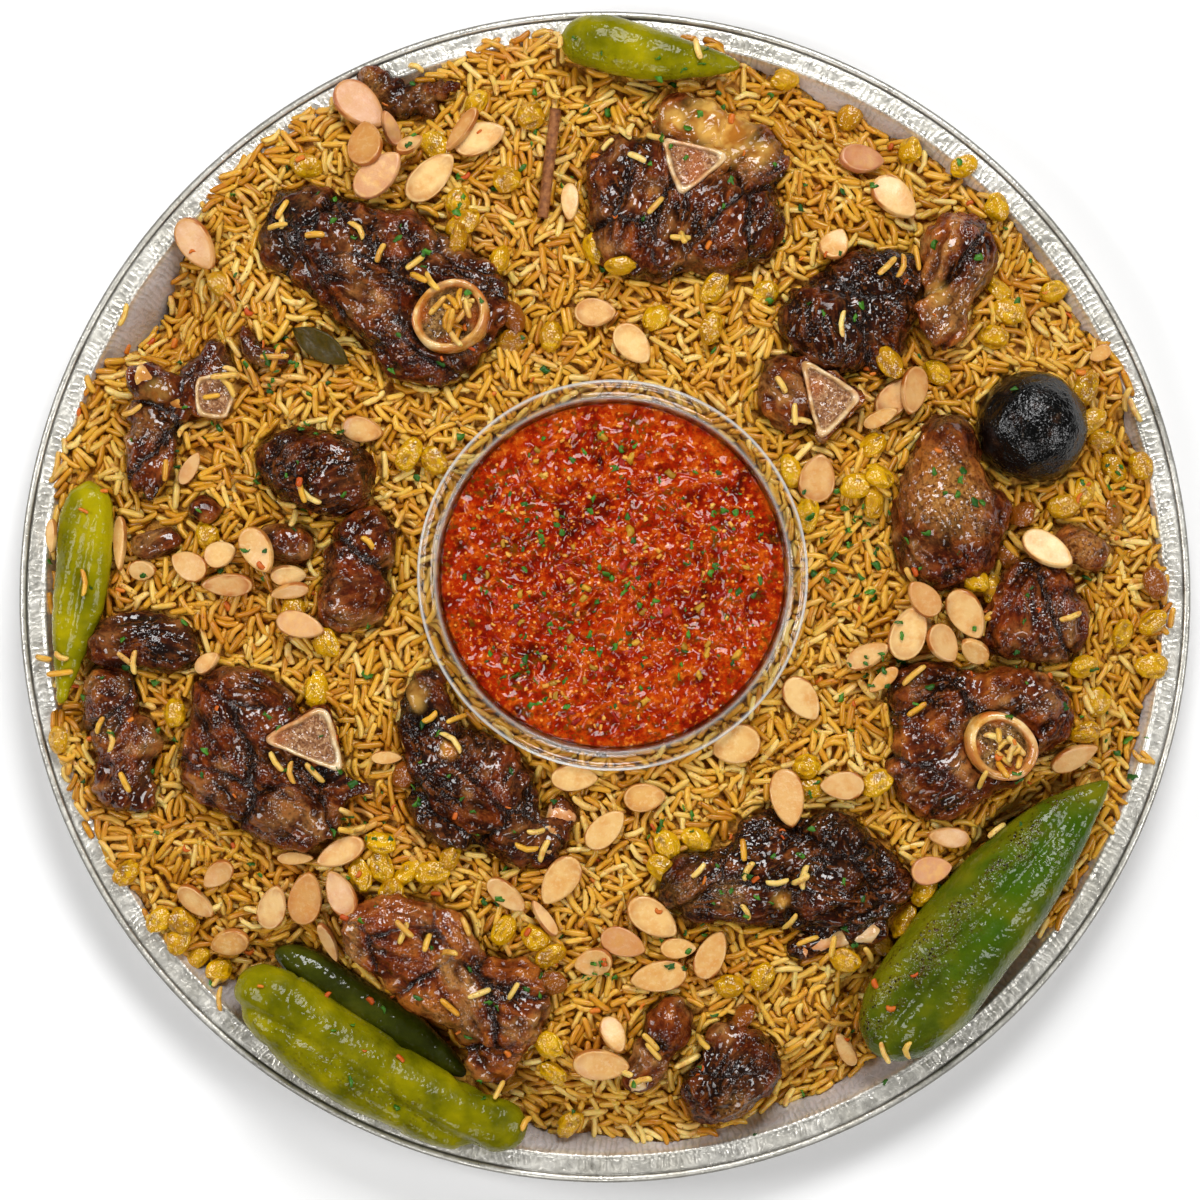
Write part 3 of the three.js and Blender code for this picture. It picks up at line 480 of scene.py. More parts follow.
def tray_relief(radius, height, around):
    """Swirls pressed into the band, the wall and the floor, and a fine knurl round the bead."""
    t = TRAY
    level = flat(radius * np.cos(around), radius * np.sin(around))
    fine = noise(level, 2.4, 8)
    swirl = layered(level + np.stack([0 * height, 0 * height, height * 1.2], -1), 9.5, 2, 5)
    pattern = np.sin(swirl * 15) * 0.75 + 0.25 * fine
    on_band = (radius > t.band - 0.2) & (radius < t.bead - 0.3) & (height > t.band_height - 0.3)
    on_wall = (radius > t.base + 1) & (radius < t.wall_top - 0.5)
    on_floor = (radius < t.base - 2) & (height > 0.3)
    on_bead = radius > t.bead
    height = height + np.where(on_band, 0.14 * pattern, 0) + np.where(on_floor, 0.25 * pattern, 0)
    radius = radius + np.where(on_wall, 0.22 * pattern, 0)
    knurl = np.sin(around * BEAD_KNURLS + 2 * fine) * 0.03 + 0.1 * noise(level, 5, 12)
    height = height + np.where(on_bead & (height > 20.5), knurl, 0)
    radius = radius + np.where(on_bead, np.minimum(0.5 * knurl, 0), 0)
    return radius, np.maximum(height, 0)


def foil_material():
    paint = Paint("foil")
    swirl, fine = paint.noise(3.2, 2, 0.5, 1.4), paint.noise(0.9, 2)
    place = paint.add("SeparateXYZ", {"Vector": paint.coordinates}).outputs
    turn = paint.math("ARCTAN2", place["Y"], place["X"])
    wander = paint.times(paint.noise(9, 2), 14.0)
    wave = paint.math("SINE", paint.math("ADD", paint.times(turn, PLEATS), wander))
    strength = paint.times(paint.attribute("pleated"), paint.span(paint.noise(16, 2), 0.36, 0.56, 0.25, 1.0))
    pleat = paint.times(paint.span(wave, -1.0, 1.0), strength)
    paint.colour = paint.mix(paint.span(paint.noise(26, 2), 0.35, 0.65), (222, 218, 206), (250, 247, 238))
    paint.lay((206, 202, 204), paint.attribute("wall"))
    # painted shade and reflection: the tray's floor beside the rice is painted a darker blue-grey, which also cancels
    # the brown of the food it reflects
    paint.lay((104, 116, 134), paint.attribute("floor"))
    # painted shade: the pressed swirls and the band's pleats are painted greyer along their relief
    paint.lay((150, 146, 134), swirl, 0.5, 0.38, 0.0, 0.3)
    paint.lay((140, 136, 124), pleat, 0.55, 0.95, 0.0, 0.38)
    # painted shadow: dark lines in the groove inside the bead, at the band's inner edge and under the curl of the
    # outer edge
    paint.lay((84, 82, 76), paint.attribute("groove_shade"))
    paint.feed(paint.inputs["Metallic"], paint.span(paint.attribute("wall"), 0.0, 1.0, 0.72, 0.3))
    normal = paint.bump(pleat, 0.14, paint.bump(fine, 0.08, paint.bump(swirl, 0.3)))
    return paint.finish(paint.span(paint.noise(5, 3), 0.3, 0.7, 0.26, 0.5), normal)


def bell(values, middle, width):
    return np.exp(-(((values - middle) / width) ** 2))


def make_tray():
    t = TRAY
    places, faces = turned(tray_profile()[::-1], TRAY_SEGMENTS, shift=tray_relief)
    reach = np.hypot(places[:, 0], places[:, 1])
    # where the painted shadow of the grooves and of the curled outer edge lies
    groove_shade = bell(reach, t.bead + 0.1, 0.45) + 0.45 * bell(reach, t.band, 0.4)
    groove_shade += 0.75 * np.clip((reach - reach.max() + 1.3) / 0.9, 0, 1)
    tint = {"pleated": np.clip((reach - t.base) / 3, 0, 1) * np.clip(t.bead - 0.8 - reach, 0, 1),
            "groove_shade": np.clip(groove_shade * (places[:, 2] > t.band_height - 2), 0, 1),
            # floor: where the painted shade of the tray's floor lies
            "floor": np.clip((t.base + 5 - reach) / 6, 0, 1), "wall": np.clip((t.wall_top - reach) / 1.5, 0, 1)}
    add_piece("foil_tray", (places, faces, tint), foil_material(), "tray", "tray")


# Tub and sauce

TUB_LOW, TUB_HIGH = (np.array(corner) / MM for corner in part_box("tub"))
TUB_X, TUB_Y = (TUB_LOW[:2] + TUB_HIGH[:2]) / 2
TUB_BASE, TUB_TOP = TUB_LOW[2], TUB_HIGH[2]
TUB_RADIUS = (TUB_HIGH[0] - TUB_LOW[0]) / 2
TUB_MOUTH, TUB_FOOT, TUB_WALL = 67.8, 56.0, 1.0
TUB_LEAN = (TUB_MOUTH - TUB_FOOT + TUB_WALL) / (TUB_TOP - TUB_BASE)
SAUCE_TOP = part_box("sauce")[1].z / MM - 1.3


def from_tub(x, y):
    """How far places are from the tub's middle."""
    return np.hypot(x - TUB_X, y - TUB_Y)


def tub_wall_radius(z):
    return TUB_FOOT + TUB_LEAN * (np.clip(z, TUB_BASE, TUB_TOP) - TUB_BASE)


def clear_material():
    """Clear plastic: see-through, with gloss that grows towards grazing angles and a painted white highlight on its
    rolled edges.
    """
    paint = Paint("clear_plastic", Roughness=0.05, Base_Color=(0.95, 0.97, 0.96, 1), IOR=1.49)
    surface = paint.add("BsdfTransparent", {"Color": (0.99, 0.99, 0.98, 1)})
    gloss = paint.add("BsdfGlossy", {"Roughness": 0.06})
    share = paint.span(paint.add("Fresnel", {"IOR": 1.5}).outputs["Fac"], 0.03, 1.0, 0.03, 0.6)
    # painted highlight: a white diffuse share on the rolled edges stands for the light lines that they catch
    edge_highlight = paint.add("BsdfDiffuse", {"Color": (0.82, 0.82, 0.78, 1)})
    for shader, weight in ((gloss, share), (edge_highlight, paint.times(paint.attribute("edge"), 0.45))):
        surface = paint.add("MixShader", {"Fac": weight, 1: surface.outputs[0], 2: shader.outputs["BSDF"]})
    paint.feed(paint.tree.nodes["Material Output"].inputs["Surface"], surface.outputs[0])
    return paint.material


def make_tub():
    """A thin bowl with a flat flange, whose inner and outer edges are rolled."""
    mouth, foot, base, top = TUB_MOUTH, TUB_FOOT, TUB_BASE, TUB_TOP

    def wall(first, last, inwards):
        heights = [base + share * (top - base) for share in np.linspace(first, last, 10)]
        return [(foot - inwards + TUB_LEAN * (height - base), height) for height in heights]

    inner = [(0, base + TUB_WALL), (foot - 6, base + TUB_WALL), (foot - 2.6, base + 1.5), (foot - 1.0, base + 4)]
    inner += wall(0.1, 0.93, TUB_WALL)
    lip = [(mouth - 0.6, top - 2.2), (mouth - 0.2, top - 0.9), (mouth + 0.3, top - 0.25), (mouth + 0.9, top),
           (mouth + 1.6, top - 0.2), (mouth + 2.2, top - 0.9), (TUB_RADIUS - 3.4, top - 1.0)]
    roll = 1.25
    for angle in np.radians(range(150, -151, -30)):
        lip.append((TUB_RADIUS - roll * (1 - math.cos(angle)), top - roll * (1 - math.sin(angle))))
    lip += [(TUB_RADIUS - 3.4, top - 1.7), (mouth + 2.6, top - 1.7), (mouth + 1.2, top - 2.2)]
    outer = wall(0.92, 0.1, 0) + [(foot - 0.2, base + 2.2), (foot - 1.6, base + 0.4), (foot - 5, base), (0, base)]
    places, faces = turned((inner + lip + outer)[::-1], 180, TUB_X, TUB_Y)
    reach = from_tub(places[:, 0], places[:, 1])
    # where the painted highlight lies: the outer roll and the rim round the mouth
    edge = np.clip((reach - TUB_RADIUS + 1.4) / 0.5, 0, 1) + 0.5 * bell(reach, mouth + 0.8, 0.6)
    tint = {"edge": edge * (places[:, 2] > top - 2.4)}
    add_piece("clear_tub", (places, faces, tint), clear_material(), "tub", "tub")


def sauce_height(x, y):
    """The lumpy level of the sauce, and how much of a lump each place is."""
    p = flat(x, y)
    p = p + 5 * np.stack([layered(p, 16, 2, 81), layered(p, 16, 2, 82), 0 * x], -1)
    reach = from_tub(x, y) / (TUB_MOUTH - 1.5)
    broad = layered(p, 24, 2, 31)
    chunks = 1 - np.abs(layered(p, 11, 2, 33)) * 3
    small = 1 - np.abs(layered(p, 5, 2, 35)) * 2.4
    lump = np.clip(chunks, -0.7, 1) * 0.55 + np.clip(small, -0.6, 1) * 0.35 + 0.4 * broad
    calm = np.clip((1 - reach**6) * 1.3, 0.12, 1)
    rise = 0.5 * np.clip((reach - 0.94) / 0.06, 0, 1) ** 2
    return SAUCE_TOP - 1.0 + (1.3 * broad + 3.2 * lump) * calm + rise, lump


def sauce_material():
    """Cooked tomato: red pulp with orange grains, olive specks and seeds under a wet skin."""
    paint = Paint("tomato_sauce", Specular_IOR_Level=0.0, Coat_Weight=0.6, Coat_Roughness=0.03, Coat_IOR=1.5)
    lump = paint.math("ADD", paint.attribute("lump"), paint.span(paint.noise(5, 4, 0.65), 0.3, 0.7, -0.3, 0.3))
    paint.colour = paint.ramp(lump, (0.1, 62, 8, 0), (0.38, 124, 16, 0), (0.66, 164, 34, 0), (0.98, 190, 74, 6))
    grain = paint.noise(2.4, 4, 0.65)
    paint.lay((226, 122, 32), grain, 0.55, 0.66, 0.0, 0.7)
    paint.lay((88, 14, 0), grain, 0.47, 0.36, 0.0, 0.7)
    paint.lay((92, 62, 4), paint.times(paint.span(paint.noise(2.6, 2), 0.54, 0.6, 0.0, 0.7),
                                       paint.span(paint.noise(13, 2), 0.48, 0.6)))
    paint.lay((230, 150, 62), paint.times(paint.span(paint.cells(2.6), 0.16, 0.26, 1.0, 0.0),
                                          paint.span(paint.noise(5, 2), 0.52, 0.56)))
    normal = paint.bump(grain, 0.8, paint.bump(paint.noise(5, 2, 0.6), 1.4))
    wet = paint.bump(paint.noise(3.0, 0.5, 0.4), 0.22, paint.bump(paint.noise(7, 1, 0.4), 2.6))
    return paint.finish(paint.span(paint.noise(2.6, 3), 0.38, 0.62, 0.3, 0.5), normal, wet)


def make_sauce():
    """The sauce's top as a fine disc of relief, and its plain wall and base in the tub."""
    wall, floor, depth = TUB_FOOT - 0.55, TUB_BASE + TUB_WALL - 0.4, SAUCE_TOP - TUB_BASE
    low = [(0, floor), (wall - 6, floor), (wall - 1.2, floor + 1)]
    low += [(wall + TUB_LEAN * rise, TUB_BASE + rise) for rise in np.linspace(5, depth - 1, 6)]
    top = [((wall + TUB_LEAN * depth) * share, SAUCE_TOP) for share in np.linspace(1, 0, 84)]

    def relief(radius, height, around):
        level, _ = sauce_height(TUB_X + radius * np.cos(around), TUB_Y + radius * np.sin(around))
        return radius, np.where(height > SAUCE_TOP - 0.01, level, height)

    places, faces = turned(low + top, 280, TUB_X, TUB_Y, relief)
    level, lump = sauce_height(places[:, 0], places[:, 1])
    places[-1, 2] = level[-1]
    shape = places, faces, {"lump": np.clip(0.5 + 0.5 * lump, 0, 1)}
    add_piece("sauce_body", shape, sauce_material(), "sauce", "sauce")
    return places


# Meat

# Where the meat is charred, tan, fatty or red: x, y, radius, strength
CHAR = [(-121, 143, 19, 1.0), (-112, 128, 12, 0.6), (-58, 92, 13, 0.7), (-78, 200, 14, 0.8), (-20, 150, 10, 0.5),
        (-90, -47, 12, 0.5), (92, -94, 12, 0.8), (-172, 90, 16, 0.6), (132, 70, 12, 0.7), (94, 112, 18, 0.6),
        (-190, -40, 16, 0.6), (-70, -45, 12, 0.6), (-170, -20, 12, 0.5), (50, -190, 14, 0.6), (-55, -170, 16, 0.5)]
TAN = [(132, 40, 17, 1.0), (140, 28, 10, 0.6), (139, 112, 9, 0.6), (-66, -165, 9, 0.5), (52, -198, 8, 0.8),
       (185, 19, 10, 0.8), (-185, 22, 8, 0.6), (-58, 100, 8, 0.3), (-196, -52, 9, 0.5), (30, -115, 9, 0.5),
       (-92, 195, 9, 1.0), (48, -115, 7, 0.8)]
FAT = [(45, 184, 17, 1.0), (60, 172, 8, 0.7), (128, 118, 6, 0.5), (-72, -38, 6, 0.7), (-60, -59, 4, 1.0),
       (26, 186, 8, 0.8), (-174, 80, 6, 0.5), (68, -117, 4, 0.9), (15, 180, 3, 0.8)]
REDDISH = [(-100, 150, 14, 0.7), (-70, 118, 14, 0.5), (135, 10, 13, 0.9), (-113, 45, 14, 0.5), (160, -5, 14, 0.6),
           (-95, 12, 14, 0.5), (-80, -128, 14, 0.6), (-40, -70, 12, 0.5), (-180, 96, 12, 0.9)]
# Which way the fibres run, in degrees
FIBRE_TURN = {"shank_left": -38, "top": 70, "upper_right": -35, "upper_right_end": 60, "diamond": 88, "right": -60,
              "shank_right": 35, "rib_bottom": 15, "bottom_left": -30, "left": -35, "block": -18, "tub_left": 65,
              "shank_tub": -40, "rib_left": 75}
# How much lighter or darker than the rest some pieces are
MEAT_TONE = {"upper_right": -0.42, "rib_bottom": -0.4, "block": -0.4, "bottom_left": 0.27, "upper_right_end": 0.07,
             "diamond": -0.02, "left": -0.02, "far_left": -0.38, "shank_tub": -0.22, "top": -0.08,
             "top_edge": -0.16, "shank_right": -0.03, "shank_left": -0.06, "tub_left": -0.04, "bottom": -0.2,
             "right": -0.06, "rib_small": -0.08, "rib_left": -0.04}
MEAT_VOXEL = 1.3
MUSCLE = 26.0  # across a muscle of most pieces
WHOLE = ("diamond", "block", "right_flap", "bits_left")  # pieces of one muscle


def patches(spots, x, y):
    """How strongly a list of round patches marks each place."""
    marks = [strength * np.clip(1.35 - np.hypot(x - px, y - py) / radius, 0, 1) for px, py, radius, strength in spots]
    return np.max(marks, axis=0)


def muscles(places, turn, seed, whole):
    """The muscles that a piece is torn into: how deep in a seam and how high on a crown each
    place is, and coordinates that run slowly along its muscle's fibres and fast across them."""
    rng = random(seed)
    cast, sink = math.cos(math.radians(turn)), math.sin(math.radians(turn))
    warped = places + 7 * np.stack([layered(places, 20, 2, seed + k) for k in (1, 2, 3)], -1)
    ahead = (warped[:, 0] * cast + warped[:, 1] * sink) / 1.5
    aside = warped[:, 1] * cast - warped[:, 0] * sink
    spots = np.stack([ahead, aside, warped[:, 2] * 0.6], -1)
    count = 1 if whole else max(1, round(np.ptp(places[:, 0]) * np.ptp(places[:, 1]) / MUSCLE**2))
    chosen = rng.integers(len(spots))
    nearest = np.full(len(spots), np.inf)
    away = []
    for _ in range(count):
        away.append(np.linalg.norm(spots - spots[chosen], axis=1))
        nearest = np.minimum(nearest, away[-1])
        chosen = np.argmax(nearest * rng.uniform(0.75, 1.0, len(nearest)))
    own = np.argmin(away, 0)
    ranked = np.sort(away, axis=0)
    gap = ranked[1] - ranked[0] if count > 1 else np.full(len(places), MUSCLE)
    angle = np.radians(turn + rng.normal(0, 28, count))[own]
    along = places[:, 0] * np.cos(angle) + places[:, 1] * np.sin(angle)
    across = places[:, 1] * np.cos(angle) - places[:, 0] * np.sin(angle)
    warp = layered(places, 18, 2, 7) * 5
    strands = np.stack([along / 4, across + warp, places[:, 2] * 1.1 + 37 * own], -1)
    return np.clip(1 - gap / 4.0, 0, 1), np.clip(gap / MUSCLE, 0, 1), strands


def meat_relief(places, normals, strands, seam, crown, seed):
    """How far the meat stands out from its smooth form, and the painted light and shade of its finer relief: lighter
    on fibres and crust, darker in seams.
    """
    lumps = layered(places, 17, 2, seed + 1)
    knobs = 1 - np.abs(layered(places, 8, 2, seed + 5)) * 2.8
    seam = seam**1.5 * np.clip(0.6 + 1.4 * noise(places, 17, seed + 6), 0.0, 1)
    bundles = 1 - np.abs(noise(strands, 6, seed + 4)) * 2.2
    fibres = 1 - np.abs(noise(strands, 2.9, seed + 3)) * 2
    crust = layered(places, 3.8, 2, seed + 7)
    height = 1.7 * lumps + 0.9 * crown + 0.7 * knobs - 2.8 * seam + 0.8 * bundles + 0.8 * fibres + 0.9 * crust
    return height * np.clip(normals[:, 2] * 1.5 + 0.9, 0.15, 1), fibres + crust - 3.2 * seam


def meat_material():
    """Roast lamb: dark fibres and crust, in places wet with fat that glints on every grain."""
    paint = Paint("roast_lamb", Specular_IOR_Level=0.0, Coat_Roughness=0.09, Coat_IOR=1.58)
    fine, strand = paint.noise(1.5, 4, 0.6), paint.strands(2.4, 4, 0.6)
    # painted light and shade: the colour ramp runs from dark in the hollows and seams of the relief to light on its
    # crowns, over each piece's own tone
    tone = paint.math("ADD", paint.attribute("tone_and_relief_shade"), paint.span(paint.noise(13, 3, 0.6), 0.38, 0.62, -0.2, 0.2))
    paint.colour = paint.ramp(tone, (0.1, 26, 9, 3), (0.36, 52, 17, 4), (0.6, 90, 33, 8), (0.84, 130, 60, 18),
                              (1.0, 172, 98, 34))
    paint.lay(paint.ramp(tone, (0.14, 28, 12, 5), (0.5, 98, 56, 26), (0.9, 176, 128, 70)),
              paint.noise(19, 3, 0.6), 0.5, 0.6, 0.0, 0.75)
    paint.lay(paint.ramp(tone, (0.12, 20, 7, 3), (0.48, 76, 17, 5), (0.9, 136, 44, 12)), paint.attribute("red"))
    paint.lay(paint.mix(paint.span(fine, 0.38, 0.62), (124, 72, 28), (196, 140, 70)), paint.attribute("tan"))
    paint.lay((150, 80, 32), strand, 0.52, 0.64, 0.0, 0.45)
    paint.lay((36, 14, 6), strand, 0.46, 0.36, 0.0, 0.5)
    paint.lay((168, 96, 40), fine, 0.56, 0.66, 0.0, 0.3)
    paint.lay((36, 14, 6), fine, 0.44, 0.36, 0.0, 0.45)
    paint.lay((14, 11, 9), paint.times(paint.attribute("char"), paint.span(fine, 0.42, 0.6, 1.0, 0.6)))
    paint.lay(paint.mix(paint.span(paint.noise(7, 2), 0.4, 0.6), (172, 108, 36), (216, 166, 80)),
              paint.attribute("fat"))
    lean = paint.span(paint.attribute("fat"), 0.1, 0.7, 1.0, 0.15)
    normal = paint.bump(paint.times(strand, lean), 1.0, paint.bump(paint.times(fine, lean), 0.9))
    grainy = paint.times(lean, paint.span(paint.noise(12, 2, 0.6), 0.44, 0.58, 0.08, 1.0))
    beads = paint.bump(paint.times(paint.noise(1.4, 0.5, 0.4), grainy), 0.9)
    wet = paint.bump(paint.times(paint.strands(2.4, 1, 0.4), grainy), 0.5, beads)
    paint.feed(paint.inputs["Coat Weight"], paint.span(paint.noise(15, 3, 0.6), 0.4, 0.54, 0.3, 0.98))
    return paint.finish(paint.span(paint.noise(4, 3), 0.4, 0.6, 0.35, 0.6), normal, wet)


def settled_under_bones(places):
    """Meat that would cover a bone's cut face, lowered beneath it."""
    x, y, z = places.T
    for ring in MARROW.values():
        angle = math.radians(ring["turn"])
        along = (x - ring["x"]) * math.cos(angle) + (y - ring["y"]) * math.sin(angle)
        across = -(x - ring["x"]) * math.sin(angle) + (y - ring["y"]) * math.cos(angle)
        reach = np.hypot(along / (ring["length"] / 2), across / (ring["width"] / 2))
        limit = ring["top"] + np.where(reach < 1.12, -6, -4 + 11 * (reach - 1.12))
        z = np.where(reach < 1.6, np.minimum(z, np.maximum(limit, ring["top"] - 6)), z)
    for slab in SLABS.values():
        outline = np.array(slab["outline"], float)
        inside = np.full(len(x), np.inf)
        for (x0, y0), (x1, y1) in zip(outline, np.roll(outline, -1, 0)):
            away = ((y - y0) * (x1 - x0) - (x - x0) * (y1 - y0)) / math.hypot(x1 - x0, y1 - y0)
            inside = np.minimum(inside, -away)
        limit = slab["top"] + np.where(inside > -0.5, -2, -0.6 - 0.6 * inside)
        z = np.where(inside > -4, np.minimum(z, limit), z)
    return np.stack([x, y, z], -1)


def make_meat():
    """Each piece of meat from its CAD node, with its relief and the marks of its roasting."""
    material, made = meat_material(), []
    for number, node in enumerate(sorted(name for name in NODES if name.startswith("meat_"))):
        name = node.removeprefix("meat_")
        places, normals, faces = softened(node, MEAT_VOXEL, 14)
        seed = 100 + 10 * number
        seam, crown, strands = muscles(places, FIBRE_TURN.get(name, 30), seed, name in WHOLE)
        height, fibres = meat_relief(places, normals, strands, seam, crown, seed)
        small = 0.55 if np.ptp(places[:, 0]) < 26 and np.ptp(places[:, 1]) < 26 else 1.0
        places = settled_under_bones(places + normals * (height * small)[:, None])
        normals = vertex_normals(places, faces)
        x, y = places[:, 0], places[:, 1]
        ragged = layered(places, 7, 2, 77) * 0.5
        tint = {
            # painted light and shade: lighter where the relief stands out, darker in hollows and seams, over the
            # piece's own tone
            "tone_and_relief_shade": np.clip(0.36 + MEAT_TONE.get(name, 0) + height * 0.14 + 0.15 * fibres, 0, 1),
            "strands": strands * MM,
            "char": np.clip(patches(CHAR, x, y) + ragged * 0.8 - 0.12, 0, 1),
            "tan": np.clip(patches(TAN, x, y) + ragged * 0.5 - 0.15, 0, 1) * np.clip(normals[:, 2] + 0.4, 0, 1),
            "fat": np.clip((patches(FAT, x, y) + ragged * 0.6 - 0.2) * 1.4, 0, 1),
            "red": np.clip(patches(REDDISH, x, y) * 0.8 + ragged, 0, 0.85),
        }
        add_piece("lamb_" + name, (places, faces, tint), material, "lamb", node)
        made.append(places)
    return made


# Bones

MARROW = {
    "shank_left": {"x": -60, "y": 109, "length": 30.5, "width": 26.5, "turn": 35, "wall": 0.8, "lean": (0.22, -0.3)},
    "shank_right": {"x": 154, "y": -58, "length": 29, "width": 25, "turn": -40, "wall": 0.77, "lean": (-0.38, 0.08)},
}
SLABS = {
    "wedge": {"node": "meat_wedge_bone", "outline": [(75, 94), (101, 77.5), (82.5, 59)], "rise": 1.5},
    "top": {"node": "meat_top", "outline": [(21, 178.5), (49.5, 171), (28.5, 154)], "rise": 0.8},
    "left": {"node": "meat_left", "outline": [(-134, -55), (-107.5, -41), (-100, -69)], "rise": 0.8},
    "knob": {"node": "meat_rib_left", "rise": 1.5,
             "outline": [(-159, 85), (-148, 87), (-143.5, 78), (-147, 69), (-158, 70)]},
}
# Ends, width, how thick the ends are for the width, and how creamy the bone is
STICKS = {
    "rib_bottom": ([(72, -137), (107, -128)], 8.5, 1.3, 0.7),
    "rib_small": ([(11, -191), (22, -172)], 7, 1.3, 0.9),
    "rib_left": ([(-183, 87), (-161, 75.5)], 9, 1.1, 0.1),
    "shank_tub": ([(-15, -81), (-25, -99)], 11, 1.1, 0.8),
}


def find_bone_tops():
    for name, spec in MARROW.items():
        angle, ring = math.radians(spec["turn"]), 0.43 * spec["length"]
        x, y = spec["x"] + ring * math.cos(angle), spec["y"] + ring * math.sin(angle)
        spec["top"] = height_on("meat_" + name, x, y)
    for spec in SLABS.values():
        spec["top"] = height_on(spec["node"], *np.mean(spec["outline"], axis=0)) + spec["rise"]


def bone_material():
    """Bone round a spongy core: golden where it is roasted, creamy with brown marrow where it is sawn."""
    paint = Paint("bone", Specular_IOR_Level=0.2, Subsurface_Weight=0.1, Coat_Weight=1.0, Coat_Roughness=0.05,
                  Subsurface_Radius=(0.6, 0.4, 0.2), Subsurface_Scale=0.002)
    core, sawn, spongy = paint.attribute("core"), paint.attribute("sawn"), paint.noise(1.4, 4, 0.65)
    rim = paint.ramp(paint.noise(6, 3), (0.36, 186, 118, 34), (0.52, 218, 160, 72), (0.68, 240, 206, 138))
    cream = paint.ramp(paint.noise(5, 3), (0.36, 190, 140, 82), (0.52, 220, 184, 132), (0.68, 238, 218, 180))
    inner = paint.ramp(spongy, (0.36, 60, 34, 10), (0.5, 132, 92, 40), (0.64, 186, 144, 84))
    marrow = paint.ramp(paint.noise(2.6, 3, 0.6, 1.5), (0.34, 112, 68, 38), (0.5, 158, 106, 66),
                        (0.66, 206, 162, 118))
    paint.colour = paint.mix(core, paint.mix(sawn, rim, cream), paint.mix(sawn, inner, marrow))
    paint.lay((206, 98, 22), paint.attribute("stain"))
    normal = paint.bump(paint.times(spongy, core), 1.4, paint.bump(paint.noise(1.8, 3), 0.35))
    wet = paint.bump(paint.times(paint.noise(2.0, 0.5, 0.4), core), 1.1, paint.bump(paint.noise(2.6, 1), 0.35))
    return paint.finish(paint.mottled(3, 2, 0.16, 0.42), normal, wet)


def marrow_ring(name):
    """A cut bone end: a rounded wall round a spongy hollow."""
    spec = MARROW[name]
    top, wall, lean = spec["top"], spec["wall"], spec["lean"]
    profile = [(0, -14), (0.86, -14), (0.97, -8), (1.0, -3), (0.99, -1), (0.96, -0.1), (0.91, 0.35), (0.86, 0.4),
               (wall + 0.05, 0.2), (wall + 0.01, -0.3), (wall - 0.02, -1.4), (wall - 0.05, -3), (0.5, -3.7),
               (0.25, -3.5), (0, -3.6)]
    places, faces = turned(profile, 64)
    ring, height = np.hypot(places[:, 0], places[:, 1]), places[:, 2]
    core = np.clip((wall + 0.02 - ring) / 0.06, 0, 1) * (height > -6)
    stain = np.clip(noise(places * [9, 9, 1] + 5, 5, 3) - 0.05, 0, 1) * (height < 0.1) * (height > -5)
    wave = 1 + 0.035 * noise(places * [1, 1, 0] + 9, 0.6, 4)
    places = places * np.stack([wave * spec["length"] / 2, wave * spec["width"] / 2, np.ones(len(wave))], -1)
    places[:, 2] += 0.4 * noise(places, 6, 6)
    x, y, z = places.T
    cast, sink, depth = math.cos(math.radians(spec["turn"])), math.sin(math.radians(spec["turn"])), np.minimum(z, 0)
    places = np.stack([x * cast - y * sink + spec["x"] - lean[0] * depth,
                       x * sink + y * cast + spec["y"] - lean[1] * depth, z + top], -1)
    sawn = np.clip(0.3 + 0.5 * noise(places, 9, 8), 0, 0.6) * (places[:, 2] > top - 1.2) * (1 - core)
    return places, faces, {"core": core, "stain": np.clip(stain * 1.3, 0, 0.7), "sawn": sawn}


def bone_slab(name):
    """A flat sawn bone: a rounded outline with a worn spongy top."""
    top, outline = SLABS[name]["top"], np.array(SLABS[name]["outline"], float)
    middle = outline.mean(0)
    for cut in (0.12, 0.16, 0.2, 0.25):
        following = np.roll(outline, -1, 0)
        corners = [outline * (1 - cut) + following * cut, outline * cut + following * (1 - cut)]
        outline = np.stack(corners, 1).reshape(-1, 2)
    levels = ((0.96, -6), (1.02, -4), (1.02, -2), (1.0, -0.6), (0.96, 0.1), (0.9, 0.3), (0.82, 0.0), (0.76, -0.9),
              (0.58, -1.2), (0.4, -0.8), (0.2, -1.2))
    rings = [flat(*(middle + (outline - middle) * share).T, top + level) for share, level in levels]
    places, faces = capped(rings, (*middle, top - 6), (*middle, top - 0.8))
    shares = np.append(np.repeat([share for share, _ in levels], len(outline)), [0.0, 0.0])
    upper = places[:, 2] > top - 1.5
    core = np.clip((0.84 - shares) * 12, 0, 1) * upper
    places[:, 2] += np.where(upper, 0.7 * layered(places, 5, 2, 9), 0)
    places[:, :2] += 0.5 * np.stack([noise(places, 4, 1), noise(places, 4, 2)], -1)
    side = np.clip((top - 0.7 - places[:, 2]) / 1.5, 0, 0.9) * (shares > 0.8)
    stain = np.clip(noise(places, 9, 3) * 0.6, 0, 0.4) + side * 0.6
    return places, faces, {"core": core, "stain": stain, "sawn": 1.0}


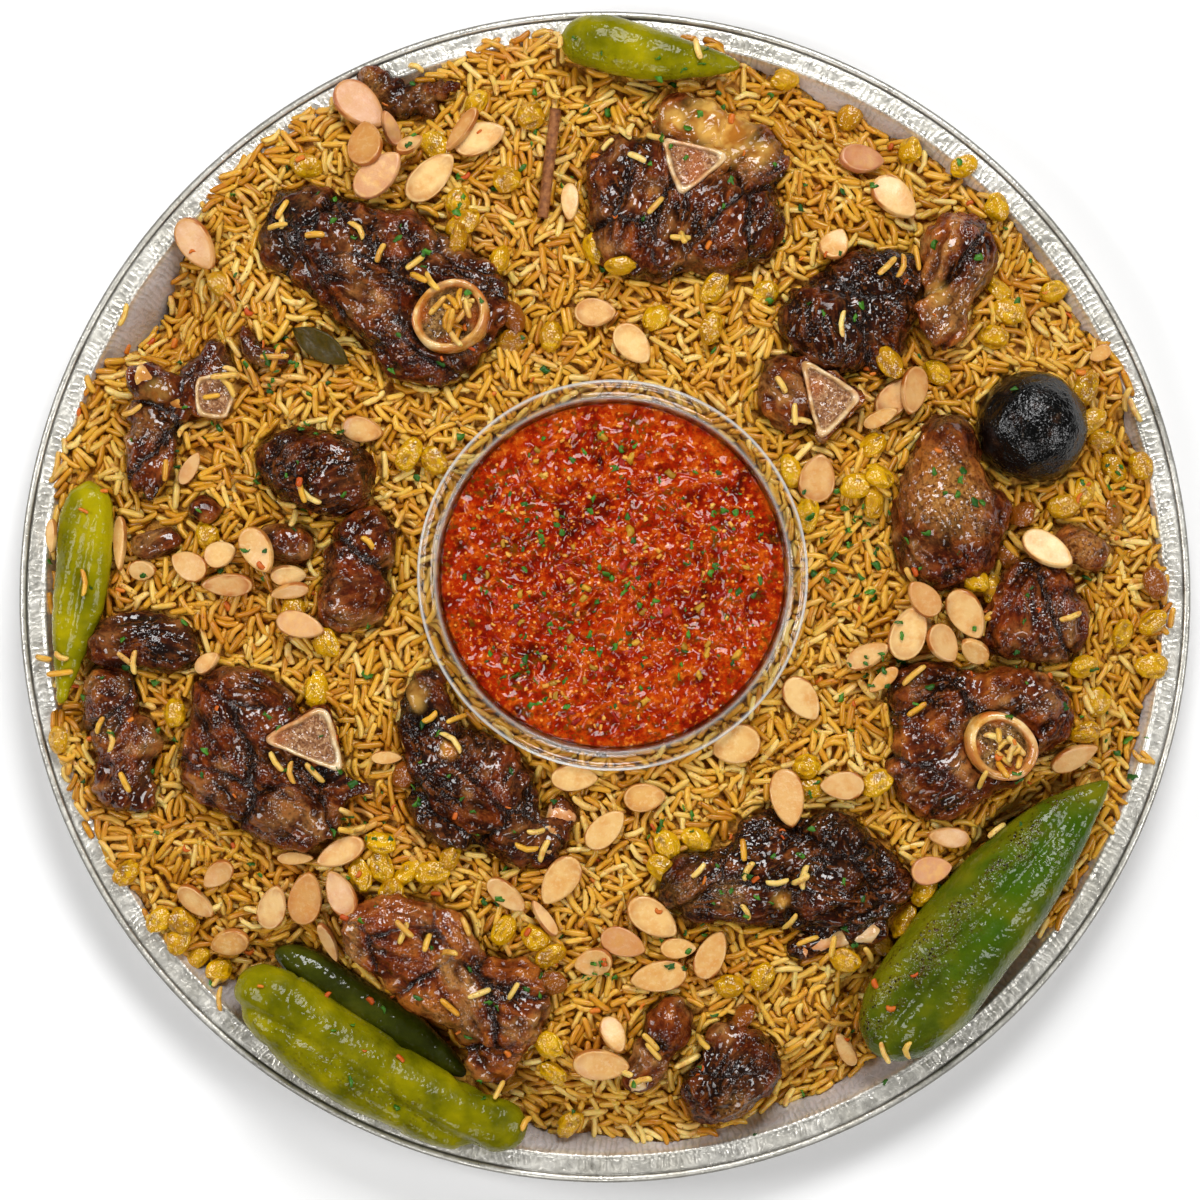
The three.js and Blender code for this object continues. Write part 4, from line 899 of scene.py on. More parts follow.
def bone_stick(name):
    """A length of rib with knobbly rounded ends."""
    ends, width, knob, cream = STICKS[name]
    start, end = np.array(ends, float)
    radius = width / 2
    shares = [0.0, 0.02, 0.07, 0.14, *np.linspace(0.22, 0.78, 9), 0.86, 0.93, 0.98, 1.0]
    swell = [0.35, 0.7, 1.0, knob, *(1 - 0.16 * np.sin(math.pi * np.linspace(0, 1, 9))), knob * 0.94, 1.0, 0.7, 0.35]
    direction = (end - start) / math.hypot(*(end - start))
    side = np.array([-direction[1], direction[0]])
    level = height_on("meat_" + name, *np.mean(ends, axis=0)) - radius * 0.8
    angle = circle(20)
    rings = []
    for share, size in zip(shares, swell):
        ring = start + (end - start) * share + side * (radius * size * np.cos(angle))[:, None]
        rings.append(np.column_stack([ring, level + radius * 0.85 * size * np.sin(angle)]))
    places, faces = capped(rings, (*(start - direction), level), (*(end + direction), level))
    faces = faces[:, ::-1]
    places = places + vertex_normals(places, faces) * (0.55 * layered(places, 5, 2, 21))[:, None]
    return places, faces, {"core": 0.0, "stain": np.clip(noise(places, 8, 4) * 1.3, 0, 0.5), "sawn": cream}


def make_bones():
    material, made = bone_material(), []
    for group, build in ((MARROW, marrow_ring), (SLABS, bone_slab), (STICKS, bone_stick)):
        for name in group:
            shape = build(name)
            add_piece("bone_" + name, shape, material, "lamb")
            made.append(shape[0])
    return made


# Peppers and black lime

# Depth of the folds along a pepper and of the creases across it, and how far apart the folds are
PEPPER_WRINKLES = {
    "pepper_top": (0.6, 0.35, 12), "pepper_left": (0.9, 0.4, 10), "pepper_right": (0.5, 0.2, 17),
    "pepper_bottom_left": (0.4, 0.8, 20), "pepper_dark": (0.8, 0.5, 12),
}
PEPPER_SHADE = {"pepper_left": 0.08, "pepper_bottom_left": -0.04}
PEPPER_PLUMP = {"pepper_bottom_left": 2.0}  # how far the skin stands out from the CAD form
# Furrows along three of the peppers: how far from the middle, width, depth and half length
GROOVES = {"pepper_right": (-1.0, 4.2, 3.4, 66), "pepper_left": (0.0, 2.2, 2.4, 34),
           "pepper_bottom_left": (-5.0, 2.0, 2.8, 62)}
# Where the right pepper is brightest green
PEPPER_FRESH = [(181, -92, 13, 0.7), (170, -100, 13, 1.0), (158, -110, 13, 1.0), (148, -128, 12, 0.8),
                (138, -140, 12, 0.5)]


def pepper_material(name, dark, main, light, gloss=0.2):
    """A glossy skin with ground spice clinging to it."""
    paint = Paint(name, Specular_IOR_Level=0.1, Subsurface_Weight=0.05, Coat_Weight=gloss, Coat_Roughness=0.05,
                  Subsurface_Radius=(0.5, 0.7, 0.1), Subsurface_Scale=0.002)
    # the shade attribute is each pepper's own tone, and on the right pepper also painted light on its upper-left
    # flank
    tone = paint.math("ADD", paint.noise(21, 3, 0.6), paint.attribute("shade"))
    paint.colour = paint.ramp(tone, (0.32, *dark), (0.5, *main), (0.7, *light))
    paint.lay((44, 86, 4), paint.attribute("fresh"))
    # painted shade: the skin is darkened in its folds and creases
    paint.lay(dark, paint.attribute("tone_and_relief_shade"), 0.5, 0.1, 0.0, 0.55)
    spicy = paint.times(paint.span(paint.noise(6, 3, 0.6), 0.44, 0.56), paint.attribute("spice"))
    marks = paint.times(paint.span(paint.cells(1.5), 0.28, 0.42, 1.0, 0.0), spicy)
    paint.lay((92, 70, 6), paint.times(spicy, 0.3))
    paint.lay(paint.mix(paint.span(paint.noise(3, 2), 0.4, 0.6), (78, 44, 6), (26, 18, 4)), marks)
    skin = paint.bump(paint.noise(2.2, 1, 0.4), 0.4, paint.bump(paint.noise(6, 2), 0.3))
    normal = paint.bump(paint.times(paint.noise(1.2, 1, 0.4), spicy), 0.6, skin)
    return paint.finish(paint.mottled(7, 3, 0.1, 0.34), normal, normal)


def make_peppers():
    """Each pepper from its CAD node, folded lengthwise and creased across."""
    olive = pepper_material("pepper_skin", (88, 88, 2), (126, 120, 2), (164, 150, 6))
    looks = {"pepper_right": pepper_material("pepper_skin_green", (46, 58, 3), (76, 88, 6), (112, 110, 8), 0.4),
             "pepper_dark": pepper_material("pepper_skin_deep", (36, 40, 3), (56, 62, 6), (80, 82, 14), 0.6)}
    made = []
    for number, (name, (folds, creases, apart)) in enumerate(PEPPER_WRINKLES.items()):
        places, normals, faces = softened(name, 1.6, 44)
        level = (places - places.mean(0))[:, :2]
        _, axes = np.linalg.eigh(np.cov(level.T))
        along, across = level @ axes[:, 1], level @ axes[:, 0]
        seed = 300 + 20 * number
        lengthwise = np.stack([along / 4.2, across, places[:, 2]], -1)
        crosswise = np.stack([along, across / 1.8, places[:, 2] / 1.8], -1)
        fold = 1 - np.abs(layered(lengthwise, apart, 2, seed)) * 2.4
        crease = np.clip(1 - np.abs(layered(crosswise, 19, 2, seed + 1)) * 7, 0, 1)
        height = folds * 0.8 * fold - creases * 1.3 * crease
        height = height + 0.9 * layered(places, 26, 2, seed + 2) + PEPPER_PLUMP.get(name, 0.5)
        aside = across if axes[0, 0] > 0 else -across
        if name in GROOVES:
            middle, width, depth, reach = GROOVES[name]
            fade = np.clip((reach - np.abs(along)) / 12, 0, 1)
            height -= depth * fade * bell(aside - middle - 2 * np.sin(along / 22), 0, width)
        places = places + normals * height[:, None]
        crest, right = aside + 9, name == "pepper_right"
        spice = np.clip(0.35 + 1.3 * bell(crest, 0, 6) + 0.8 * noise(places, 14, seed + 5) - 0.4, 0, 1)
        # the first tint holds the painted shade of the folds and creases
        tint = {"tone_and_relief_shade": np.clip(0.5 + 0.3 * folds * fold - 0.5 * creases * crease, 0, 1),
                # painted light: the right pepper's upper-left flank, which faces the lamps, is made lighter
                "shade": PEPPER_SHADE.get(name, 0.0) + (0.14 * np.clip((1 - crest) / 6, 0, 1) if right else 0),
                "fresh": 0.8 * patches(PEPPER_FRESH, places[:, 0], places[:, 1]) if right else 0.0,
                "spice": spice if right else spice * 0.3}
        slot = "pepper_deep" if name == "pepper_dark" else "pepper"
        add_piece("long_" + name, (places, faces, tint), looks.get(name, olive), slot, name)
        made.append(places)
    return made


def make_lime():
    """A dried lime: a dark wrinkled ball with dull and glossy patches."""
    places, normals, faces = softened("black_lime", 1.1, 26)
    ridge = 1 - np.abs(layered(places, 9, 2, 41)) * 3
    pits = np.clip(noise(places, 2.6, 43) - 0.35, 0, 1)
    height = 0.5 + 0.35 * np.clip(ridge, -1, 1) - 0.6 * pits + 0.35 * layered(places, 16, 2, 44)
    places = places + normals * height[:, None]
    paint = Paint("lime_rind", Specular_IOR_Level=0.0, Coat_Weight=1.0, Coat_Roughness=0.13, Coat_IOR=1.45)
    paint.colour = paint.ramp(paint.noise(8, 4, 0.65), (0.38, 3, 3, 3), (0.54, 8, 7, 6), (0.64, 36, 22, 15),
                              (0.74, 72, 50, 33))
    paint.lay((96, 84, 66), paint.times(paint.span(paint.cells(2.6), 0.1, 0.16, 1.0, 0.0), 0.5))
    normal = paint.bump(paint.noise(1.1, 3), 0.3, paint.bump(paint.noise(4, 3), 0.4))
    skin = paint.bump(paint.noise(1.5, 2), 0.55, paint.bump(paint.noise(6, 2), 0.12))
    material = paint.finish(paint.mottled(5, 4, 0.24, 0.62), normal, skin)
    add_piece("black_lime_rind", (places, faces), material, "lime", "black_lime")
    return places


# Almonds

# The halves and slices that are too small to be nodes: x, y, length, width, turn
LOOSE_ALMONDS = [
    (-92.5, 175, 19, 14, 90), (-84, 182, 14, 6, -70), (-76, 174.5, 12, 6, 30), (-55, 181, 20, 6, 55),
    (-68, 163, 24, 13, 45), (-13.5, 153, 15, 7, 90), (89, 136, 13, 11, 60), (193, 95, 9, 6, 30),
    (-161, 50, 14, 6, 60), (-188, 21, 21, 5, 90), (-179, 11, 11, 8, 0), (-161, 12, 15, 11, -30),
    (-149, 16.5, 13, 10, 20), (-146, 5, 20, 9, 0), (-123, 9, 14, 8, 0), (-122, 3, 15, 6, 10),
    (-154, -26, 11, 7, 40), (-214.5, 24, 13, 4, 90), (-84.5, -62, 12, 5, 0), (51, -57, 19, 15, 20),
    (-12, -70, 18, 10, 0), (119, 80, 19, 11, 80), (107, 70, 15, 6, 25), (123, -1, 16, 11, -50),
    (130, -18, 16, 12, -60), (143, -20, 13, 9, -40), (102, -23, 18, 9, 25), (108, -32, 14, 6, 40),
    (182, -62, 20, 9, 25), (92, -73, 17, 11, 0), (-120, -101, 14, 5, 0), (-150, -107, 14, 9, 40),
    (-159, -118, 17, 9, -40), (-102, -99, 20, 10, 25), (-129, -120, 18, 11, 75), (-102, -115, 19, 11, -65),
    (-107, -133, 17, 5, -65), (-146, -134, 16, 11, 15), (0, -90, 19, 11, 45), (-17.5, -109.5, 21, 13, 55),
    (-38, -115, 18, 9, -40), (-24, -125, 16, 5, -55), (7, -134, 18, 11, -20), (-4, -141, 15, 11, 10),
    (28, -136, 14, 8, 0), (21, -147, 22, 12, 10), (3, -170, 15, 9, -65), (133, -93, 17, 8, -5),
    (126, -106, 16, 11, 10), (94, -176, 16, 6, -60),
]
ALMOND_THICKNESS = 2.9


def almond_shape(length, width, thickness, seed):
    """An egg-shaped half with a small point, a domed top and a flat underside, lying along x."""
    rng = random(seed)
    angle = circle(26)
    point = 0.16 + 0.06 * rng.random()
    x = np.cos(angle) * (1 + 0.05 * bell(angle - 2 * math.pi * (angle > math.pi), 0, 0.25))
    y = np.sin(angle) * (1 - point * np.cos(angle)) * (1 - 0.12 * np.clip(np.cos(angle), 0, 1) ** 6)
    levels = ((0.6, 0.0), (0.93, 0.02), (0.99, 0.14), (1.0, 0.4), (0.995, 0.72), (0.97, 0.9), (0.92, 0.98),
              (0.84, 1.0), (0.5, 0.97))
    rings = [flat(x * share * length / 2, y * share * width / 2, level * thickness) for share, level in levels]
    places, faces = capped(rings, (0, 0, 0), (0, 0, thickness))
    along, across = places[:, 0] / (length / 2), places[:, 1] / (width / 2)
    bend = 0.45 * rng.standard_normal()
    places[:, 2] += bend * along**2 + 0.25 * noise(places + 50 * rng.random(3), 6, seed)
    edge = np.clip(np.hypot(along, across), 0, 1)
    rim = bell(edge, 0.86, 0.05)
    toast = np.clip(0.45 * rng.random() ** 2 + 0.6 * rim * rng.random() + 0.8 * (edge > 0.985), 0, 1)
    return places, faces, {"toast": toast, "pink": max(rng.random() - 0.72, 0) * 2.6, "shade": rng.random()}


def almond_material():
    paint = Paint("almond", Specular_IOR_Level=0.4, Subsurface_Weight=0.06, Coat_Weight=0.3, Coat_Roughness=0.2,
                  Subsurface_Radius=(0.8, 0.5, 0.25), Subsurface_Scale=0.002)
    paint.colour = paint.mix(paint.attribute("shade"), (220, 166, 88), (238, 200, 132))
    paint.lay((214, 146, 66), paint.noise(6, 3), 0.44, 0.68, 0.0, 0.7)
    paint.lay((240, 208, 150), paint.noise(1.6, 3, 0.6), 0.52, 0.62, 0.0, 0.35)
    paint.lay((168, 92, 26), paint.attribute("toast"))
    blotch = paint.times(paint.attribute("pink"), paint.span(paint.noise(3.2, 3), 0.4, 0.55, 0.4, 1.0))
    paint.lay((194, 124, 92), blotch)
    normal = paint.bump(paint.noise(0.8, 3), 0.1, paint.bump(paint.noise(3, 3), 0.25))
    return paint.finish(paint.mottled(4, 2, 0.34, 0.55), normal)


def laid_along(node):
    """Middle, long direction and upward one of a thin CAD node, and its places along, across and up."""
    places, _, _ = arrays_of(NODES[node].data)
    centre, axes = axes_of(places)
    up, along = axes[:, 0], axes[:, 2]
    up = up if up[2] > 0 else -up
    return centre, along, up, [(places - centre) @ axis for axis in (along, np.cross(up, along), up)]


def placed_almond(name, seed):
    """A CAD almond's place as a finer almond, with its point at the narrow end."""
    centre, along, up, (spread, across, rise) = laid_along(name)
    half = np.abs(across) > 0.75 * np.abs(across).max()
    along = -along if spread[half].mean() > 0 else along
    thickness = np.ptp(rise)
    allowed = min(thickness, ALMOND_THICKNESS + 0.7)
    shape, faces, tint = almond_shape(np.ptp(spread), np.ptp(across), allowed, seed)
    shape[:, 2] -= thickness / 2
    return turned_to(shape, centre, along, up), faces, tint


def make_almonds(heights):
    """The almonds that are CAD nodes, and the small ones lying on whatever the height map holds."""
    material = almond_material()
    for number, name in enumerate(sorted(name for name in NODES if name.startswith("almond_"))):
        shape = placed_almond(name, 500 + number)
        add_piece("roast_" + name, shape, material, "almond", name)
        stamp(heights, spread_points(*shape[:2]))
    loose = []
    samples = [axis.ravel() for axis in np.meshgrid(np.linspace(-0.45, 0.45, 7), np.linspace(-0.4, 0.4, 5))]
    for number, (x, y, length, width, turn) in enumerate(LOOSE_ALMONDS):
        shape, faces, tint = almond_shape(length, width, ALMOND_THICKNESS, 600 + number)
        angle = math.radians(turn + 180 * (number % 2))
        cast, sink = math.cos(angle), math.sin(angle)
        u, v = samples[0] * length, samples[1] * width
        under = heights[cells(x + u * cast - v * sink, y + u * sink + v * cast)]
        fit = np.linalg.lstsq(np.stack([u, v, np.ones(len(u))], -1), under, rcond=None)[0]
        slope_u, slope_v = np.clip(fit[:2], -0.5, 0.5)
        base = np.percentile(under - slope_u * u - slope_v * v, 92)
        along, side = np.array([cast, sink, slope_u]), np.array([-sink, cast, slope_v])
        placed = turned_to(shape, np.array([x, y, base]), along, np.cross(along, side))
        stamp(heights, spread_points(placed, faces))
        loose.append((placed, faces, tint))
    add_piece("loose_almonds", joined(loose), material, "almond")


# Rice

# Share of the grains, and the colours of the darkest, the middle and the lightest
RICE_KINDS = {
    "golden": (0.45, (206, 147, 30), (223, 169, 52), (234, 188, 80)),
    "pale": (0.26, (218, 170, 68), (231, 194, 100), (241, 212, 132)),
    "brown": (0.29, (181, 119, 12), (202, 142, 26), (218, 162, 44)),
}
# Loose grains on the meat, in the bones, on the peppers and on the rim: x, y, spread, how many
STRAYS = [
    (-60, 109, 4, 15), (154, -58, 3.5, 9), (-122, 150, 6, 4), (-72, 125, 3, 3), (-92, 136, 4, 2), (12, 172, 7, 6),
    (28, 140, 3, 2), (92, 118, 6, 2), (112, 126, 4, 3), (80, 72, 5, 3), (128, 20, 6, 1), (150, -8, 4, 2),
    (185, 18, 5, 2), (118, -40, 4, 2), (138, -72, 5, 2), (48, -112, 6, 4), (72, -108, 4, 3), (85, -133, 6, 4),
    (20, -178, 5, 3), (38, -186, 6, 3), (-70, -128, 6, 4), (-48, -152, 5, 4), (-118, -62, 5, 3),
    (-100, -88, 4, 3), (-185, -22, 4, 2), (-190, -62, 6, 4), (-168, 62, 7, 5), (-150, 84, 4, 3), (-112, 33, 6, 4),
    (-88, 24, 5, 3), (-55, -52, 5, 3), (-25, -90, 5, 3), (-62, 198, 6, 4), (-128, 98, 6, 4), (-205, 10, 5, 1),
    (208, 77, 5, 4), (221, -8, 2, 2), (218, -42, 2, 2), (214, -60, 3, 2), (-18, 205, 5, 3), (-150, -160, 6, 4),
    (100, -190, 8, 4), (-30, -208, 10, 4), (-215, -30, 3, 3), (-195, 120, 6, 5), (60, 205, 10, 4),
]
LAYER_SPACING = 12.5
BED_LAYERS, HEAP_LAYERS = 5, 80
EDIBLE_REACH = 222  # how far from the middle of the tray loose bits lie


def spindle(stations, sides):
    """A closed skin of unit half length along x, from rows of place along it and radius."""
    angle = circle(sides)
    rings = [np.column_stack([np.full(sides, at), size * np.cos(angle), size * np.sin(angle)])
             for at, size in stations]
    return capped(rings, (-1, 0, 0), (1, 0, 0))


GRAIN, GRAIN_FACES = spindle([(-0.95, 0.6), (-0.72, 0.94), (0, 1.0), (0.72, 0.94), (0.95, 0.62)], 5)


def grain_meshes(grains, rng):
    """One shape from rows of x, y, z, turn, pitch, length and width."""
    count, corners = len(grains), len(GRAIN)
    x, y, z, turn, pitch, length, width = grains.T[:, :, None]
    bend = rng.normal(0, 1.3, (count, 1))
    roll = rng.random((count, 1)) * 2 * math.pi
    bow = bend * (0.45 - GRAIN[:, 0] ** 2)
    ahead = GRAIN[:, 0] * (length / 2)
    aside = GRAIN[:, 1] * (width / 2) + bow * np.cos(roll)
    lift = GRAIN[:, 2] * (width / 2 * 0.92) + bow * np.sin(roll) * 0.4
    ahead, up = ahead * np.cos(pitch) - lift * np.sin(pitch), ahead * np.sin(pitch) + lift * np.cos(pitch)
    places = np.stack([x + ahead * np.cos(turn) - aside * np.sin(turn),
                       y + ahead * np.sin(turn) + aside * np.cos(turn), z + up], -1)
    faces = GRAIN_FACES + (np.arange(count) * corners)[:, None, None]
    return places.reshape(-1, 3), faces.reshape(-1, 3), {"shade": np.repeat(rng.random(count), corners)}


def rice_material(name, low, middle, high):
    paint = Paint(name, Specular_IOR_Level=0.35, Subsurface_Weight=0.4, Coat_Weight=0.15, Coat_Roughness=0.2,
                  Subsurface_Radius=(1.0, 0.6, 0.15), Subsurface_Scale=0.0018)
    paint.colour = paint.ramp(paint.attribute("shade"), (0.0, *low), (0.5, *middle), (1.0, *high))
    paint.lay((190, 112, 14), paint.noise(26, 4, 0.6), 0.5, 0.64, 0.0, 0.6)
    paint.lay((184, 104, 18), paint.noise(4.5, 2), 0.56, 0.66, 0.0, 0.55)
    paint.lay(low, paint.noise(2.2, 2), 0.4, 0.62, 0.0, 0.4)
    paint.lay((116, 58, 10), paint.times(paint.span(paint.cells(1.7), 0.14, 0.24, 0.8, 0.0),
                                         paint.span(paint.noise(9, 2), 0.48, 0.58)))
    return paint.finish(paint.mottled(3, 2, 0.24, 0.46), paint.bump(paint.noise(1.1, 2), 0.12))


def scatter_places(rng, spacing, reach):
    """Places at least a little apart all over the plate."""
    count = int(2 * reach / spacing) + 2
    i, j = np.meshgrid(np.arange(count), np.arange(int(count / 0.87) + 1))
    x = (i + 0.5 * (j % 2) + rng.random()) * spacing - reach - spacing
    y = (j * 0.87 + rng.random()) * spacing - reach - spacing
    x = x.ravel() + (rng.random(x.size) - 0.5) * spacing * 0.3
    y = y.ravel() + (rng.random(y.size) - 0.5) * spacing * 0.3
    inside = np.hypot(x, y) < reach
    return x[inside], y[inside]


class Heap:
    """The rice as it is laid down: a height map that each grain raises where it comes to lie."""

    def __init__(self, target, floor, obstacles, ceiling):
        self.target, self.obstacles, self.ceiling = target, obstacles, ceiling
        self.heights = floor.copy()
        self.grains = []

    def count(self):
        return sum(len(grains) for grains in self.grains)

    def lie(self, x, y, turn, length, steepest=0.5):
        """Where thin pieces touch what is under them, and the slope and height at which they rest on it."""
        shares = np.linspace(-0.46, 0.46, 7)
        px = x[:, None] + np.cos(turn)[:, None] * shares * length[:, None]
        py = y[:, None] + np.sin(turn)[:, None] * shares * length[:, None]
        under = self.heights[cells(px, py)]
        run = shares * length[:, None]
        early, late = under[:, :3].max(1), under[:, 4:].max(1)
        slope = np.clip((late - early) / (0.62 * length), -steepest, steepest)
        return px, py, run, slope, (under - slope[:, None] * run).max(1)

    def place(self, x, y, turn, length, width, px, py, run, slope, middle):
        """Keeps some grains and raises the height map by them."""
        self.grains.append(np.stack([x, y, middle, turn, np.arctan(slope), length, width], -1))
        top = middle[:, None] + slope[:, None] * run + width[:, None] / 2
        for side in (-0.35, 0, 0.35):
            sx = px - np.sin(turn)[:, None] * side * width[:, None]
            sy = py + np.cos(turn)[:, None] * side * width[:, None]
            np.maximum.at(self.heights, cells(sx, sy), top - (0.12 if side else 0) * width[:, None])

    def pour(self, rng, layers, spacing=LAYER_SPACING, tries=8, sink=0.95):
        """Lays layers: at each place the lowest of several ways for a grain to lie, if it fits the heap."""
        for _ in range(layers):
            x, y = scatter_places(rng, spacing, TRAY.radius)
            count = len(x)
            x = np.repeat(x, tries) + (rng.random(count * tries) - 0.5) * spacing * 0.55
            y = np.repeat(y, tries) + (rng.random(count * tries) - 0.5) * spacing * 0.55
            turn = rng.random(count * tries) * 2 * math.pi
            length = np.repeat(rng.normal(10.0, 1.4, count).clip(6, 13), tries)
            width = np.repeat(rng.normal(2.7, 0.2, count).clip(2.1, 3.2), tries)
            over = np.repeat(rng.normal(0.7, 0.8, count), tries)
            px, py, run, slope, base = self.lie(x, y, turn, length)
            middle = base + width / 2 - sink
            top = middle[:, None] + slope[:, None] * run + width[:, None] / 2
            place = cells(px, py)
            fits = (top < self.target[place] + over[:, None]).all(1) & (top < self.ceiling[place]).all(1)
            fits &= (self.obstacles[place] > NOWHERE).sum(1) <= 1
            fits &= (from_tub(px, py) > tub_wall_radius(top) + 1.3).all(1)
            fits &= (np.hypot(px, py) < TRAY.bead - 3).all(1)
            score = np.where(fits, (top - self.target[place]).max(1), np.inf).reshape(count, tries)
            best = np.arange(count) * tries + np.argmin(score, 1)
            best = best[fits[best]]
            self.place(*(v[best] for v in (x, y, turn, length, width, px, py, run, slope, middle)))

    def drop(self, rng, spots, sink=0.5):
        """Grains that lie on top of whatever is at some places, one after the other."""
        for spot in spots:
            x, y = spot[:, None]
            turn = rng.random(1) * 2 * math.pi
            length, width = rng.normal(9.2, 1.4, 1).clip(5, 12), rng.normal(2.55, 0.15, 1)
            px, py, run, slope, base = self.lie(x, y, turn, length, 0.9)
            self.place(x, y, turn, length, width, px, py, run, slope, base + width / 2 - sink)


# Raisins

# x, y and how brown
RAISINS = [
    (-50, 192, 0), (-66, 175, 0), (-29, 187, 0), (-38, 162, 0), (-57, 153, 0), (-55, 145, 0), (-57, 138, 0.3),
    (-41, 130, 0), (-4, 135, 0), (-35, 108, 0.9), (-36, 99, 0.5), (-21, 101, 0), (42, 120, 0), (19.5, 108, 0),
    (41, 104, 0), (70, 202, 0), (119, 174, 0), (153, 152, 0), (153, 119.5, 0), (157, 111, 0), (151, 101, 0),
    (175, 119, 0), (129, 87, 0), (187, 81, 0), (110, 91, 0.3), (-76, 55, 0), (-66, 53, 0), (72, 49, 0),
    (-154, 24, 0), (-121, -5, 0), (-108, -18, 0), (-167, -45, 0), (-112, -36, 0), (-213, -56, 0), (-77, -69, 0.9),
    (104, 59, 0), (97, 43, 0), (106, 47, 0), (104, 37, 0.3), (78, 32, 0), (194, 61, 0), (198, 50, 0.2), (209, 51, 0),
    (188, 68, 0.2), (186, 41, 0), (178, 35, 0.3), (162, 32, 0.9), (198, 33, 0.8), (156.5, 15, 0.9), (143, 7, 0),
    (150, 3, 0), (214.5, 5.5, 0.9), (201.5, -14, 0), (213.5, -10, 0), (213, -27, 0), (186, -27, 0), (191.5, -41, 0),
    (187, -53, 0), (105, -72, 0), (79, -74, 0), (78, -66, 0), (-187, -108, 0), (-174, -126, 0), (-165, -126, 0),
    (-166.5, -134, 0), (-159, -140, 0), (-151, -146, 0), (-87, -95, 0), (-87, -104, 0), (-77, -107, 0),
    (-95, -108, 0), (-83, -114, 0), (-67, -107, 0), (-60, -101, 0.1), (-39, -129, 0), (-27, -132, 0),
    (-21, -139, 0), (-21, -150, 0.9), (-22, -174, 0), (-20, -185, 0), (-14, -206, 0), (24, -96, 0), (35, -94, 0),
    (22, -105, 0), (48, -151, 0), (61, -147, 0), (54, -163, 0.9), (116, -126, 0), (124, -114, 0), (93, -141, 0),
    (107, -135, 0), (-116, 168, 0.2), (96, 188, 0.2), (140, 168, 0), (6, 128, 0.2), (-150, 122, 0.3), (62, 118, 0),
]


def raisin_shape(seed):
    """A plump ellipsoid with long folds."""
    rng = random(seed)
    length, width, height = rng.uniform(10, 13.5), rng.uniform(8, 10), rng.uniform(4.6, 6.2)
    lifts = np.linspace(-math.pi / 2, math.pi / 2, 14)[1:-1]
    places, faces = spindle([(math.sin(lift), math.cos(lift)) for lift in lifts], 22)
    spot = places + 40 * rng.random(3)
    fold = 1 - np.abs(noise(spot * [0.8, 2.4, 2.4], 1.1, seed)) * 2.4
    dent = noise(spot, 0.9, seed + 1)
    places = places * (1 + 0.13 * fold[:, None] + 0.12 * dent[:, None]) * [length / 2, width / 2, height / 2]
    return places, faces, {"fold": np.clip(0.5 + 0.5 * fold, 0, 1), "shade": rng.random()}


def raisin_material():
    paint = Paint("raisin", Specular_IOR_Level=0.1, Subsurface_Weight=0.1, Coat_Weight=0.9, Coat_Roughness=0.03,
                  Coat_IOR=1.6, Subsurface_Radius=(0.9, 0.6, 0.1), Subsurface_Scale=0.003)
    paint.colour = paint.mix(paint.attribute("shade"), (182, 126, 0), (214, 160, 0))
    # painted shade: the skin darkens into the hollows of its folds
    paint.lay((112, 66, 0), paint.attribute("fold"), 0.1, 0.6, 0.7, 0.0)
    paint.lay((232, 184, 14), paint.noise(2.6, 2), 0.5, 0.62, 0.0, 0.5)
    paint.lay((128, 58, 12), paint.attribute("brown"))
    normal = paint.bump(paint.noise(1.5, 1.5, 0.5), 0.75)
    return paint.finish(paint.mottled(3, 2, 0.2, 0.4), normal, normal)


def tilted(heights, x, y, reach=2.0):
    """Upward direction of the surface round a place."""
    steps = ((reach, 0), (-reach, 0), (0, reach), (0, -reach))
    east, west, north, south = (heights[cells(x + dx, y + dy)] for dx, dy in steps)
    slope = np.clip([(east - west) / (2 * reach), (north - south) / (2 * reach)], -1.0, 1.0)
    up = np.array([-slope[0], -slope[1], 1.0])
    return up / np.linalg.norm(up)


def make_raisins(heights):
    parts = []
    for number, (x, y, brown) in enumerate(RAISINS):
        shape, faces, tint = raisin_shape(900 + number)
        turn = random(950 + number).random() * math.pi
        level = np.median(heights[cells(x + np.array([-3, 0, 3, 0, 0]), y + np.array([0, 0, 0, -3, 3]))])
        along = [math.cos(turn), math.sin(turn), 0]
        placed = turned_to(shape, np.array([x, y, level + 1.6]), along, tilted(heights, x, y, 4))
        stamp(heights, placed)
        parts.append((placed, faces, {**tint, "brown": brown}))
    add_piece("raisins", joined(parts), raisin_material(), "rice")


# Small garnishes

# Places where the parsley lies thicker: x, y, spread, how many
PARSLEY_CLUSTERS = [
    (98, 10, 12, 26), (108, -24, 10, 14), (92, 32, 9, 10), (-92, -88, 7, 12), (27, -88, 5, 8), (-2, -145, 5, 8),
    (132, 45, 7, 6), (-128, 92, 8, 10), (-110, 60, 12, 8), (30, 190, 14, 8), (70, 160, 14, 8), (60, -110, 20, 12),
    (-150, 60, 16, 12), (-60, -80, 18, 10), (198, -60, 9, 6), (30, 205, 9, 6), (195, 45, 9, 6), (-60, 125, 22, 8),
    (150, -50, 22, 8), (-60, -150, 24, 10), (-130, -60, 22, 8), (20, -150, 20, 8), (-30, 170, 22, 8),
]
CARROT = [
    (-187, 97), (-178, 100), (-165, 80), (-205, 72), (-178, -96), (-163, -98), (-206, -35), (-200, -55), (-150, -43),
    (4, 147), (-73, 90), (-63, 92), (-52, 96), (-58, 112), (-54, 104), (152, -62), (158, -56), (-60, -88), (40, 136),
]


